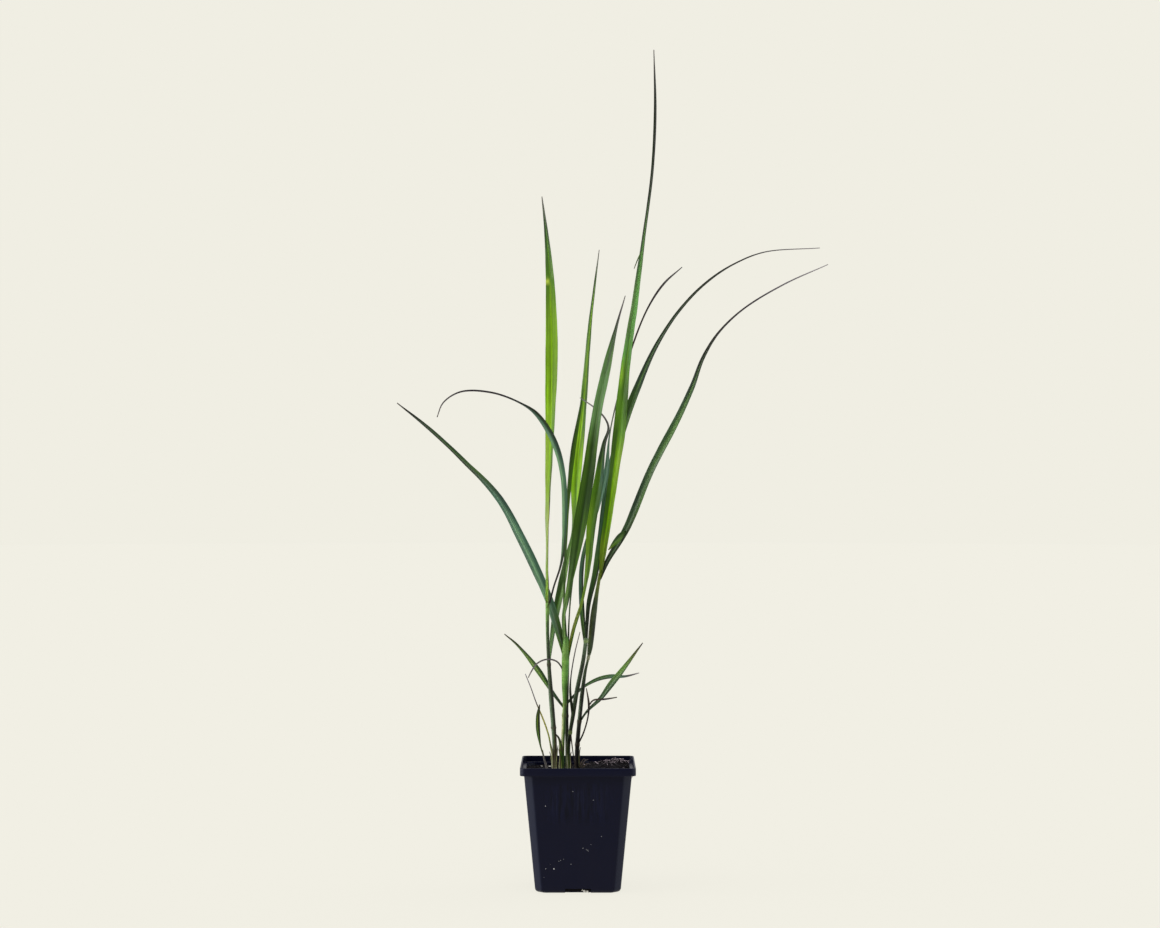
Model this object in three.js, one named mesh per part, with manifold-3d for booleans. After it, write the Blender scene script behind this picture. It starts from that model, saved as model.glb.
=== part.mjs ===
// Potted northwind switchgrass: an upright clump grass with five leafy stems and a few small shoots,
// growing in a square nursery pot. Millimetres, +Z up. The origin is the centre of the pot's underside.
// The viewer of the plant's front stands on the -Y side, with +X to the right.

import * as THREE from 'three';
import { mergeVertices } from 'three/addons/utils/BufferGeometryUtils.js';
import Module from 'manifold-3d';

const wasm = await Module();
wasm.setup();

// Driving dimensions of the pot, a 9 cm square nursery pot
const RIM_WIDTH = 90;
const POT_HEIGHT = 98.5;
const RIM_BAND = 6.2;
const BODY_TOP_WIDTH = 84;
const BODY_BASE_WIDTH = 66.5;
const CHAMFER_TOP = 6.3;
const CHAMFER_BASE = 5;
const CHAMFER_SOFTNESS = 1.2;
const RIM_CORNER_RADIUS = 4.5;
const BASE_EDGE_RADIUS = 3.2;
const WALL = 1.1;
const FLOOR = 1.3;
const SLOT_WIDTH = 20;
const SLOT_HEIGHT = 3.6;
const SLOT_REACH = 5;

// Driving dimensions of the soil
const SOIL_LEVEL = 91.4;
const SOIL_MOUND = 4.2;
const MOUND_CENTRE = [30, 31];
const MOUND_SPREAD = 17;
const CROWN_RISE = 1.3;
const CROWN_CENTRE = [-9, 0];
const CROWN_SPREAD = 15;
const SEAT_GAP = 0.3;
const ROOT_DEPTH = 18;

// Driving dimensions of the leaves and stems
const BLADE_THICKNESS = 0.7;
const FOLD_SHARE = 0.13;
const STEPS_PER_SPAN = 2;
const STEM_SIDES = 8;
const STEM_STEP = 12;
const JOINT_SWELL = 0.45;
const JOINT_LENGTH = 1.6;

// Stem routes, from the foot in the soil upwards: [x, y, z, radius]. joints are heights of the swollen nodes.
const FOOT = SOIL_LEVEL - ROOT_DEPTH;
const LEFT_STEM = {
  route: [[-17.6, -2, FOOT, 1.8], [-18, -2.3, 95, 1.8], [-18.6, -2.5, 116, 1.8], [-21, -4, 148, 1.9],
    [-23, -6, 178, 1.4], [-24, -7.5, 203, 1.3], [-24, -8, 224.5, 1.6]],
  joints: [126, 176],
};
const CENTRE_STEM = {
  route: [[-12.4, -6, FOOT, 1.4], [-12.2, -6, 95, 1.4], [-12, -6, 112.5, 1.4], [-11, -6, 135.5, 1.5],
    [-10.5, -6, 145, 1.4], [-10.5, -6, 160, 2.2], [-10, -6, 178, 2.8], [-9.6, -6, 193, 2.5]],
  joints: [136, 144.5],
};
const BACK_STEM = {
  route: [[-8.4, 8, FOOT, 1.6], [-8.4, 8, 95, 1.6], [-8.6, 8, 111, 1.5], [-9, 8, 134, 1.4],
    [-8.6, 8, 158.5, 1.4], [-8, 8, 188, 1.2]],
  joints: [134],
};
const MIDDLE_STEM = {
  route: [[-7.3, -3, FOOT, 1.5], [-7.4, -3, 95, 1.5], [-7.5, -3, 111.5, 1.5], [-6, -3, 123, 1.4],
    [-4, -2.8, 135, 1.6], [-1, -2, 154, 1.7], [4.2, -0.5, 179, 1.6], [6.5, 0, 196.5, 1.5]],
  joints: [122, 194],
};
const RIGHT_STEM = {
  route: [[-1.2, 3, FOOT, 1.9], [-0.9, 3, 95, 1.9], [-0.5, 3, 111.5, 1.7], [1.5, 3, 134.5, 1.6],
    [3.5, 3.4, 153.5, 1.6], [5.8, 5, 170, 1.2], [8, 5.5, 179.5, 1], [9.6, 5.5, 189, 1.9],
    [12.5, 4, 214.5, 2.1], [15, 2.5, 232.5, 1.5], [17.5, 1.5, 247.5, 1.2]],
  joints: [112, 130, 180],
};
const SHOOT_STEM = {
  route: [[-24.2, -8, FOOT + 6, 0.8], [-24.6, -8.3, 94, 0.8], [-26.6, -9.2, 102, 0.7],
    [-28.2, -10, 109, 0.6]],
  joints: [],
};
const THREAD_STEM = {
  route: [[-18.8, 7, FOOT + 8, 0.7], [-19.4, 7, 95, 0.7], [-20.5, 7, 103.5, 0.65], [-22, 7, 112, 0.6]],
  joints: [],
};
const STUB_STEM = {
  route: [[-13, -11, FOOT + 4, 1.4], [-13, -11, 95, 1.4], [-13.4, -11.3, 111, 1.3], [-15, -12.5, 118.5, 0.8],
    [-18, -14, 122.5, 0.4]],
  joints: [110],
};

// Leaf routes, from the collar to the tip: [x, y, z, full width, turn]. turn is how far the face is turned
// about the leaf's own length, in degrees, from square to the viewer. A leaf that leans right shows its upper
// face with a positive turn, and one that leans left with a negative turn.
const LEFT_BRIGHT_LEAF = [[-24, -8, 221, 3.2, 35], [-24, -6.5, 258, 6.5, 76], [-23.5, 0, 305, 8.4, 62],
  [-22, 12, 361, 9.6, 44], [-21, 28, 425, 10.2, 14], [-22.5, 44, 482, 7.2, 16], [-26, 56, 524, 3.2, 20],
  [-29.5, 64, 552, 0.7, 20]];
const LEFT_ARCHING_LEAF = [[-23.5, -8.5, 221, 2.6, -60], [-19.5, -10, 236.5, 4.5, -74],
  [-13.5, -13, 256, 5.2, -74], [-10, -16, 290, 6.2, -52], [-10.5, -20, 325.5, 6.4, -50],
  [-17, -25, 352, 5.8, -34], [-29, -31, 373.5, 4.8, -36], [-45, -37, 384.5, 3.6, -62],
  [-68, -44, 391.5, 2.6, -58], [-91, -50, 389.5, 1.7, -50], [-104, -53, 381, 1.2, -40],
  [-108.5, -54, 370, 0.7, -30]];
const LEFT_INNER_LEAF = [[-23, -5.5, 175, 2.4, 50], [-20, 6, 199.5, 5.5, 50], [-15, 15, 227.5, 7, 30],
  [-9, 19, 256, 7.6, 58], [-3.5, 22, 281.5, 8.6, 78], [-1, 25, 329, 9.2, 26], [4.5, 30, 381.5, 7, 42],
  [9.5, 36, 442, 4.5, 50], [17, 44, 507, 0.7, 50]];
const CENTRE_BROAD_LEAF = [[-10, -6.4, 184, 4, 50], [-11, -9, 213, 6, 66], [-8.5, -11, 226.5, 7.5, 62],
  [-4, -14, 251, 9.2, 54], [1.5, -18, 284.5, 10.8, 22], [8, -23, 324.5, 10.4, 24],
  [15.5, -30, 376, 8.8, 34], [23, -36, 411.5, 6.8, 22], [30, -42, 441, 2.6, 38], [36.5, -47, 464, 0.7, 40]];
const CENTRE_FAR_LEFT_LEAF = [[-10, -5.6, 182, 4, -50], [-17.5, -1, 209, 6.5, -52], [-23, 4, 225.5, 8, -50],
  [-32, 10, 246.5, 9.2, -38], [-44.5, 17, 272.5, 9.6, -40], [-65, 26, 308.5, 8.4, -40],
  [-91, 34, 335.5, 6, -46], [-119.5, 42, 362, 4.2, -40], [-146.5, 50, 383.5, 0.7, -30]];
const CENTRE_OLIVE_LEAF = [[-9, -6, 176, 3, 50], [-4, -6, 201, 5, 60], [4, -6, 227.5, 6.5, 71],
  [8.5, -4, 256, 7.8, 58], [11, -3, 288, 8.6, 34], [16.5, -9, 321.5, 7.8, 24], [20.5, -16, 349.5, 4.4, 43],
  [24, -18.5, 362, 2.4, 45], [22, -19, 368.5, 1.8, 48], [15, -18, 376.5, 1.3, 30], [1.5, -15, 386, 0.7, 30]];
const CENTRE_LOW_LEFT_LEAF = [[-10.8, -5.8, 141.5, 2, -40], [-20.5, 2.5, 153.5, 4, -52],
  [-31.5, 6, 170, 5.2, -38], [-47.5, 9, 189.5, 2.8, -52], [-58.5, 11, 199, 0.7, -40]];
const CENTRE_LOW_RIGHT_LEAF = [[-10.4, -5.6, 143, 1.8, 40], [-3, 3.4, 150.5, 3, 56], [5, 10, 157, 3.8, 64],
  [16, 15, 162.5, 4.2, 50], [27, 20, 164.5, 3.8, 40], [37.5, 25, 164, 2.2, 44], [49, 30, 166.5, 0.7, 40]];
const CENTRE_THIN_ARCH = [[-11, -6.4, 170.5, 1.2, -30], [-16.5, -9, 178.5, 1.4, -40],
  [-24.5, -12, 180.5, 1.4, -40], [-32, -15, 177.5, 1.3, -30], [-36.5, -17, 171.5, 1, -20],
  [-39, -18, 166.5, 0.7, -20]];
const BACK_INNER_LEAF = [[-8.2, 8, 181, 2.6, -45], [-11, 6, 214.5, 4.5, -68], [-11, 4, 246, 5.2, -73],
  [-9.5, 5, 281.5, 5.8, -70], [-7.5, 6, 313.5, 5.8, -60], [-3.5, 8, 348.5, 4.8, -41],
  [1, 11, 373.5, 2.8, -45], [4, 13, 393, 0.7, -45]];
const BACK_YOUNG_LEAF = [[-8, 8, 181, 1.6, 20], [-7, 9, 210, 1.8, 55], [-5, 9.5, 235.5, 1.9, 50],
  [0, 10, 273.5, 1.6, 50], [8, 12, 321, 0.7, 50]];
const MIDDLE_LONG_LEAF = [[6.5, 0, 191, 2.8, 50], [8.5, 4, 221.5, 5.2, 54], [14.5, 11, 249.5, 6.8, 46],
  [19, 17, 281.5, 7.6, 51], [24, 22, 318, 8, 53], [33.5, 28, 355, 8.4, 39], [46, 34, 391, 8.2, 32],
  [64.5, 42, 431.5, 5.8, 46], [85.5, 48, 462.5, 3.8, 43], [107, 54, 483.5, 2.6, 40],
  [128.5, 60, 497.5, 1.8, 44], [152.5, 66, 507, 1.2, 40], [198, 74, 511, 0.7, 40]];
const MIDDLE_SLENDER_LEAF = [[6.3, 0, 190, 2.8, 50], [3.5, 1, 217, 4.2, 52], [3, 6, 250, 4.6, 64],
  [7, 14, 272.5, 4.6, 70], [16, 19, 297.5, 4.8, 70], [22.5, 22, 327, 4.6, 36], [25.5, 26, 358, 2.2, 66],
  [31.5, 31, 385.5, 1.6, 50], [43.5, 38, 428, 1.6, 40], [56.5, 44, 460, 1.8, 44], [69.5, 50, 480, 1.8, 25],
  [84.5, 56, 494, 0.7, 30]];
const MIDDLE_SPEAR = [[-3.8, -3.2, 134, 2.4, 0], [-6, -7, 154.5, 2, 35], [-5.5, -9, 167, 1.2, 48],
  [-2.5, -11, 185.5, 1, 40], [1.5, -13, 202, 0.7, 40]];
const MIDDLE_HANGING_SHRED = [[-5.8, -3.4, 122, 1, 0], [-4.8, -6, 113.5, 0.9, 10],
  [-3.6, -7, 104.5, 0.8, 10], [-2.5, -7.6, 97, 0.7, 10]];
const RIGHT_TALLEST_LEAF = [[17.5, 1.5, 243, 2.4, 48], [20, 0.5, 264.5, 6.2, 35], [24.5, -2, 296, 8.4, 38],
  [29, -3, 329.5, 10, 38], [33, -2, 361, 10.8, 28], [38, 2, 411.5, 9, 38], [46, 9, 466.5, 6.4, 43],
  [53.5, 17, 522, 3.2, 45], [59.5, 24, 569, 2, 36], [62, 31, 618, 1.9, 27], [61, 38, 667.5, 0.7, 30]];
const RIGHT_ARCHING_LEAF = [[17.5, 1.5, 243, 2.6, 48], [23.5, -2, 257.5, 5, 46], [38, -9, 282, 7.4, 43],
  [57, -18, 328.5, 8.8, 45], [75, -26, 363.5, 8.6, 40], [88, -33, 391.5, 7, 44], [97.5, -39, 417, 4.4, 45],
  [108, -44, 434.5, 2.8, 47], [127, -52, 453, 2, 52], [158.5, -62, 472, 1.5, 47], [191, -70, 486.5, 0.7, 45]];
const RIGHT_TORN_FLAP = [[37.6, -8.9, 281.6, 1.2, 40], [33.6, -9.4, 280, 2.6, 40],
  [29.6, -10, 276.6, 3, 40], [26.2, -10.6, 271.8, 2, 36], [23.6, -11, 266.7, 0.7, 30]];
const RIGHT_LOW_LEAF = [[1.4, 3, 129.5, 1.8, 55], [7, -3.5, 138.5, 3, 60], [17.5, -9, 149, 4.6, 53],
  [26.5, -14, 161.5, 5.8, 37], [36, -19, 174, 4.2, 34], [50.5, -27, 194.5, 0.7, 34]];
const RIGHT_DRIED_LEAF = [[0, 2.6, 112, 1.2, 0], [4.5, -5, 122.5, 1.2, 20], [8, -11, 136, 1.2, 20],
  [8.5, -13, 146, 1.8, 30], [6.5, -15, 158, 0.7, 30]];
const RIGHT_DRIED_SIDE_LEAF = [[8.4, -12.8, 144, 1, 20], [12, -14, 148.5, 1.4, 40],
  [20.5, -17, 149.5, 1.6, 40], [30.5, -21, 151.5, 0.7, 30]];
const SHOOT_LEAF = [[-27.8, -9.8, 106.5, 1, 0], [-29.6, -10.4, 113, 1.4, -30], [-31.4, -11, 125, 3.9, -38],
  [-31.6, -12, 136, 3.5, -35], [-30, -13, 145, 0.7, -20]];
const THREAD_LEAF = [[-21.6, 7, 110, 1, 0], [-23.4, 7.2, 119, 1.2, 20], [-27.5, 8, 131, 1.3, 20],
  [-33, 9, 144, 0.9, 20], [-38, 11, 157.5, 0.8, 20], [-42, 13, 167, 0.7, 20]];

// Leafy stems in the soil: the node's name, its stem, the leaves that grow from it, and its colour
const TILLERS = [
  ['stem_left', LEFT_STEM, [LEFT_BRIGHT_LEAF, LEFT_ARCHING_LEAF, LEFT_INNER_LEAF], 0x7fa630],
  ['stem_centre', CENTRE_STEM, [CENTRE_BROAD_LEAF, CENTRE_FAR_LEFT_LEAF, CENTRE_OLIVE_LEAF,
    CENTRE_LOW_LEFT_LEAF, CENTRE_LOW_RIGHT_LEAF, CENTRE_THIN_ARCH], 0x4a7346],
  ['stem_back', BACK_STEM, [BACK_INNER_LEAF, BACK_YOUNG_LEAF], 0x5b7a35],
  ['stem_middle', MIDDLE_STEM, [MIDDLE_LONG_LEAF, MIDDLE_SLENDER_LEAF, MIDDLE_SPEAR, MIDDLE_HANGING_SHRED],
    0x33452f],
  ['stem_right', RIGHT_STEM, [RIGHT_TALLEST_LEAF, RIGHT_ARCHING_LEAF, RIGHT_TORN_FLAP, RIGHT_LOW_LEAF,
    RIGHT_DRIED_LEAF, RIGHT_DRIED_SIDE_LEAF], 0x4f7f3a],
  ['shoot_left', SHOOT_STEM, [SHOOT_LEAF], 0x4b5a33],
  ['shoot_thread', THREAD_STEM, [THREAD_LEAF], 0x7d7a4a],
  ['stub_dried', STUB_STEM, [], 0x6b5a40],
];

const VIEWER = new THREE.Vector3(0, -1, 0);

// A closed body over rings of equal count. caps lists the triangles that close an end, and slant(side) says
// which sides of the rings are split along their other diagonal.
function skin(rings, caps, slant = () => false) {
  const count = rings[0].length;
  const last = (rings.length - 1) * count;
  const faces = [];
  for (let ring = 0; ring + 1 < rings.length; ring += 1) {
    for (let side = 0; side < count; side += 1) {
      const a = ring * count + side;
      const b = ring * count + ((side + 1) % count);
      const c = a + count;
      const d = b + count;
      faces.push(...(slant(side) ? [a, b, c, b, d, c] : [a, b, d, a, d, c]));
    }
  }
  for (const [i, j, k] of caps) {
    faces.push(i, k, j, last + i, last + j, last + k);
  }
  const geometry = new THREE.BufferGeometry().setFromPoints(rings.flat());
  geometry.setIndex(faces);
  return geometry;
}

function fan(count) {
  return Array.from({ length: count - 2 }, (_, i) => [0, i + 1, i + 2]);
}

// A mesh as a solid that can be joined and cut, with its faces pointing out
function solid(geometry) {
  const bare = geometry.clone();
  bare.deleteAttribute('normal');
  bare.deleteAttribute('uv');
  const merged = mergeVertices(bare, 1e-5);
  const points = merged.getAttribute('position');
  const triangles = Uint32Array.from(merged.index.array);
  const [a, b, c] = [new THREE.Vector3(), new THREE.Vector3(), new THREE.Vector3()];
  let volume = 0;
  for (let i = 0; i < triangles.length; i += 3) {
    a.fromBufferAttribute(points, triangles[i]);
    b.fromBufferAttribute(points, triangles[i + 1]);
    c.fromBufferAttribute(points, triangles[i + 2]);
    volume += a.dot(b.cross(c));
  }
  if (volume < 0) {
    triangles.reverse();
  }
  return new wasm.Manifold(new wasm.Mesh({ numProp: 3, vertProperties: points.array, triVerts: triangles }));
}

function geometryOf(body) {
  const mesh = body.getMesh();
  const geometry = new THREE.BufferGeometry();
  geometry.setAttribute('position', new THREE.BufferAttribute(Float32Array.from(mesh.vertProperties), 3));
  geometry.setIndex(Array.from(mesh.triVerts));
  geometry.computeVertexNormals();
  return geometry;
}

function curveThrough(rows) {
  const points = rows.map(([x, y, z]) => new THREE.Vector3(x, y, z));
  return new THREE.CatmullRomCurve3(points, false, 'centripetal');
}

// The side and face directions of what runs along direction, turned by degrees from square to the viewer
function frameAt(direction, degrees) {
  const side = direction.clone().cross(VIEWER).normalize();
  const face = side.clone().cross(direction);
  const turn = THREE.MathUtils.degToRad(degrees);
  return {
    side: side.clone().multiplyScalar(Math.cos(turn)).addScaledVector(face, Math.sin(turn)),
    face: face.clone().multiplyScalar(Math.cos(turn)).addScaledVector(side, -Math.sin(turn)),
  };
}

// A grass blade: a thin strip folded along its middle, with the fold's keel away from its upper face
function blade(rows) {
  const path = curveThrough(rows);
  const form = new THREE.CatmullRomCurve3(rows.map((row) => new THREE.Vector3(row[3], row[4], 0)), false,
    'catmullrom', 0.5);
  const steps = (rows.length - 1) * STEPS_PER_SPAN;
  const rings = [];
  for (let i = 0; i <= steps; i += 1) {
    const centre = path.getPoint(i / steps);
    const { x: width, y: turn } = form.getPoint(i / steps);
    const { side, face } = frameAt(path.getTangent(i / steps), turn);
    const half = Math.max(width, BLADE_THICKNESS) / 2;
    const rise = half * FOLD_SHARE;
    const place = (across, up) => centre.clone().addScaledVector(side, across).addScaledVector(face, up);
    const skinHalf = BLADE_THICKNESS / 2;
    rings.push([
      place(-half, rise + skinHalf), place(0, -rise + skinHalf), place(half, rise + skinHalf),
      place(half, rise - skinHalf), place(0, -rise - skinHalf), place(-half, rise - skinHalf),
    ]);
  }
  const foldedEnd = [[0, 1, 4], [0, 4, 5], [1, 2, 3], [1, 3, 4]];
  return skin(rings, foldedEnd, (side) => side === 3 || side === 4);
}

function circle(centre, direction, radius) {
  const { side, face } = frameAt(direction, 0);
  return Array.from({ length: STEM_SIDES }, (_, i) => {
    const angle = (i / STEM_SIDES) * 2 * Math.PI;
    return centre.clone().addScaledVector(side, radius * Math.cos(angle))
      .addScaledVector(face, radius * Math.sin(angle));
  });
}

// A round stem with its swollen nodes. For its hole in the soil, grow adds to its radius, below adds to its
// foot, and top is where the hole ends.
function stem({ route, joints }, grow = 0, below = 0, top = Infinity) {
  const path = curveThrough(route);
  const radii = new THREE.CatmullRomCurve3(route.map((row) => new THREE.Vector3(row[3], 0, 0)), false,
    'catmullrom', 0.5);
  const steps = Math.ceil(path.getLength() / STEM_STEP);
  const stations = Array.from({ length: steps + 1 }, (_, i) => i / steps);
  for (const height of joints) {
    const near = stationAt(path, height);
    const reach = JOINT_LENGTH / path.getLength();
    stations.push(near - reach, near, near + reach);
  }
  stations.sort((a, b) => a - b);
  const rings = [];
  for (const station of stations) {
    const centre = path.getPoint(station);
    if (centre.z <= top) {
      const direction = path.getTangent(station);
      const swell = joints.some((height) => Math.abs(centre.z - height) < JOINT_LENGTH / 2) ? JOINT_SWELL : 0;
      const lift = station === 0 ? -below : 0;
      const radius = radii.getPoint(station).x + swell + grow;
      rings.push(circle(centre.addScaledVector(direction, lift), direction, radius));
    }
  }
  return skin(rings, fan(STEM_SIDES));
}

// The station along a rising curve at which it passes a height
function stationAt(path, height) {
  let [low, high] = [0, 1];
  for (let i = 0; i < 24; i += 1) {
    const middle = (low + high) / 2;
    if (path.getPoint(middle).z < height) {
      low = middle;
    } else {
      high = middle;
    }
  }
  return low;
}

// One quarter of a square outline, turned to each corner in turn
function fourCorners(corner, z) {
  return [0, 1, 2, 3].flatMap((quarter) => corner.map(([x, y]) => {
    const point = new THREE.Vector3(x, y, z);
    return point.applyAxisAngle(new THREE.Vector3(0, 0, 1), quarter * Math.PI / 2);
  }));
}

function chamferedSquare(half, chamfer, z) {
  const soft = Math.min(CHAMFER_SOFTNESS, chamfer / 3);
  const slope = soft * Math.SQRT1_2;
  return fourCorners([
    [half, half - chamfer - soft], [half - slope, half - chamfer + slope],
    [half - chamfer + slope, half - slope], [half - chamfer - soft, half],
  ], z);
}

function roundedSquare(half, radius, z) {
  return fourCorners([0, 1, 2, 3].map((i) => {
    const angle = (i / 3) * Math.PI / 2;
    return [half - radius + radius * Math.cos(angle), half - radius + radius * Math.sin(angle)];
  }), z);
}

const BODY_TOP = POT_HEIGHT - RIM_BAND;
const CORNER_COUNT = 16;

function bodyHalf(z) {
  return THREE.MathUtils.lerp(BODY_BASE_WIDTH, BODY_TOP_WIDTH, z / BODY_TOP) / 2;
}

function bodyChamfer(z) {
  return THREE.MathUtils.lerp(CHAMFER_BASE, CHAMFER_TOP, z / BODY_TOP);
}

function bodyOutline(z, inset) {
  return chamferedSquare(bodyHalf(z) - inset, bodyChamfer(z), z);
}

// The pot: outside from the base to the rim, over its edge and down the inside to the floor
function potBody() {
  const rim = RIM_WIDTH / 2;
  const inner = rim - WALL;
  const shell = skin([
    bodyOutline(0, BASE_EDGE_RADIUS), bodyOutline(BASE_EDGE_RADIUS * 0.3, BASE_EDGE_RADIUS * 0.3),
    bodyOutline(BASE_EDGE_RADIUS, 0), bodyOutline(BODY_TOP - 0.6, 0),
    roundedSquare(rim - 0.5, RIM_CORNER_RADIUS, BODY_TOP),
    roundedSquare(rim, RIM_CORNER_RADIUS, BODY_TOP + 0.5),
    roundedSquare(rim, RIM_CORNER_RADIUS, POT_HEIGHT - 0.5),
    roundedSquare(rim - 0.5, RIM_CORNER_RADIUS - 0.5, POT_HEIGHT),
    roundedSquare(inner + 0.3, RIM_CORNER_RADIUS - 1, POT_HEIGHT),
    roundedSquare(inner, RIM_CORNER_RADIUS - 1, POT_HEIGHT - 0.4),
    roundedSquare(inner, RIM_CORNER_RADIUS - 1, BODY_TOP + WALL),
    bodyOutline(BODY_TOP + WALL, WALL + 0.2), bodyOutline(BODY_TOP - 2, WALL),
    bodyOutline(FLOOR, WALL),
  ], fan(CORNER_COUNT));
  let pot = solid(shell);
  for (let side = 0; side < 4; side += 1) {
    const slot = new THREE.BoxGeometry(SLOT_WIDTH, SLOT_REACH * 2, SLOT_HEIGHT * 2);
    slot.translate(0, -bodyHalf(0), 0);
    slot.rotateZ(side * Math.PI / 2);
    pot = pot.subtract(solid(slot));
  }
  return pot;
}

// Height of the peat: nearly level, raised round the plant's crown and heaped in the right-hand back corner
function soilHeight(x, y) {
  const hump = ([middleX, middleY], spread) => {
    return Math.exp(-((x - middleX) ** 2 + (y - middleY) ** 2) / (2 * spread ** 2));
  };
  const waves = 0.35 * Math.sin(x * 0.31 + 1.2) * Math.cos(y * 0.27 - 0.4);
  return SOIL_LEVEL + waves + SOIL_MOUND * hump(MOUND_CENTRE, MOUND_SPREAD)
    + CROWN_RISE * hump(CROWN_CENTRE, CROWN_SPREAD);
}

function soilBody() {
  const inset = WALL + SEAT_GAP;
  const rings = [bodyOutline(FLOOR + SEAT_GAP, inset), bodyOutline(SOIL_LEVEL - 4, inset)];
  for (const share of [1, 0.85, 0.68, 0.5, 0.32, 0.14]) {
    rings.push(bodyOutline(SOIL_LEVEL - 4, inset).map((point) => {
      const [x, y] = [point.x * share, point.y * share];
      return new THREE.Vector3(x, y, soilHeight(x, y));
    }));
  }
  let soil = solid(skin(rings, fan(CORNER_COUNT)));
  for (const [, plant] of TILLERS) {
    soil = soil.subtract(solid(stem(plant, SEAT_GAP, SEAT_GAP, 112)));
  }
  return soil;
}

function tillerBody(plant, leaves) {
  return leaves.reduce((body, rows) => body.add(solid(blade(rows))), solid(stem(plant)));
}

function piece(name, body, color, roughness) {
  const material = new THREE.MeshStandardMaterial({ color, roughness, metalness: 0 });
  const mesh = new THREE.Mesh(geometryOf(body), material);
  mesh.name = name;
  return mesh;
}

const plant = new THREE.Group();
plant.add(piece('pot', potBody(), 0x1b1d29, 0.55));
plant.add(piece('soil', soilBody(), 0x221b17, 0.95));
for (const [name, stalk, leaves, color] of TILLERS) {
  plant.add(piece(name, tillerBody(stalk, leaves), color, 0.6));
}

export default plant;
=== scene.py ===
import math
from functools import partial

import bmesh
import bpy
import numpy as np
from mathutils import Matrix, Vector, noise


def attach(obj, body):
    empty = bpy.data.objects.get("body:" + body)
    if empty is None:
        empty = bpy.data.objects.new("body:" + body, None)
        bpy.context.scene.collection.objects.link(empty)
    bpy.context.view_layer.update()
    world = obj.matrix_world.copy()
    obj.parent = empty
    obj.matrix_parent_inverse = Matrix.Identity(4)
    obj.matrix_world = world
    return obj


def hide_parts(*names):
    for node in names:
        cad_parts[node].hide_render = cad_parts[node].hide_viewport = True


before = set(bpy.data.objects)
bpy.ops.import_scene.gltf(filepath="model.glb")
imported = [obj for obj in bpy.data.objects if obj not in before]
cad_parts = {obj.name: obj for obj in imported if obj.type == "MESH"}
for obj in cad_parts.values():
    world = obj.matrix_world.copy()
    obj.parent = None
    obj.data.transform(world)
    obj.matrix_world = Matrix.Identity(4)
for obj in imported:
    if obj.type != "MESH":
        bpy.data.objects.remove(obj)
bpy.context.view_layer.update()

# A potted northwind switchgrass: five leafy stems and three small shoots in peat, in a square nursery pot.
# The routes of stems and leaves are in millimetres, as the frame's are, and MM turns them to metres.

# A millimetre in metres, and a full turn in radians
MM = 0.001
FULL_TURN = 6.283

# The pot, in millimetres
RIM_WIDTH = 90
POT_HEIGHT = 98.5
RIM_BAND = 6.2
BODY_TOP = POT_HEIGHT - RIM_BAND
BODY_TOP_WIDTH = 84
BODY_BASE_WIDTH = 66.5
CHAMFER_TOP = 6.3
CHAMFER_BASE = 5
CHAMFER_SOFTNESS = 1.2
RIM_CORNER_RADIUS = 4.5
SMALLEST_RIM_RADIUS = 1.5
RIM_EDGE_RADIUS = 0.5
BASE_EDGE_RADIUS = 3.2
WALL = 1.1
FLOOR = 1.3
SLOT_WIDTH = 20
SLOT_HEIGHT = 3.6
SLOT_REACH = 5
FLUTE_PITCH = 4.3
FLUTE_DEPTH = 0.34
FLUTE_WANDER = 1.1
WANDER_PER_MM = 0.37
FLUTE_REACH = 27
FLUTE_SIDE_FADE = 3
FLUTE_FOOT = 56
FLUTE_FOOT_FADE = 9
FLUTE_TOP = 85
FLUTE_TOP_FADE = 4

# The pot's mesh: steps round a corner and along a side, the degrees from which an edge stays sharp, and the
# heights of the rings in the plain and the fluted part of the body
CORNER_STEPS = 5
SIDE_STEPS = 116
SHARP_EDGE = 38
PLAIN_RINGS = np.linspace(6, 52, 12)
FLUTED_RINGS = np.linspace(54, 88, 26)

# The soil, in millimetres, and the count of rings across its top
SOIL_LEVEL = 91.4
SOIL_MOUND = 4.2
MOUND_CENTRE = (30, 31)
MOUND_SPREAD = 17
CROWN_RISE = 1.3
CROWN_CENTRE = (-9, 0)
CROWN_SPREAD = 15
WAVE_HEIGHT = 0.35
LUMP_HEIGHT = 0.55
LUMPS_PER_MM = 0.35
STREWN_SPREAD = 0.55 * MOUND_SPREAD
HOLE_DEPTH = 5.0
HOLE_GAP = 0.35
SEAT_GAP = 0.3
SOIL_SIDE_TOP = SOIL_LEVEL - 5
FOOT = SOIL_LEVEL - 18
SOIL_RINGS = 74

# The leaves and stems, in millimetres
LEAF_THICKNESS = 0.24
NARROWEST = 0.5
KEEL_SPREAD = 0.5
LEAF_STATION = 2.4
STEM_STATION = 1.5
JOINT_SWELL = 0.42
JOINT_LENGTH = 1.1

# Shares of a leaf's half width: how soft its fold is, the middle's band of colour and its blend into the
# edges'. Then how far a joint's own colour covers its stem's.
FOLD_SOFTNESS = 0.006
MIDDLE_BAND = 0.1
EDGE_BLEND = 0.32
JOINT_MARK = 0.75

# How leaves and stems are formed from their lines: mesh columns, fold, veins, keel and rippled edges
LEAF_FORM = {
    "Columns": 25, "Fold": 0.13, "Vein pitch": 0.95 * MM, "Vein height": 0.035 * MM, "Keel": 0.16 * MM,
    "Ripple": 0.42, "Ripple length": 26 * MM, "Seed": 3.0}
STEM_FORM = {"Sides": 24, "Lines": 8, "Line height": 0.03 * MM}

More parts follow.
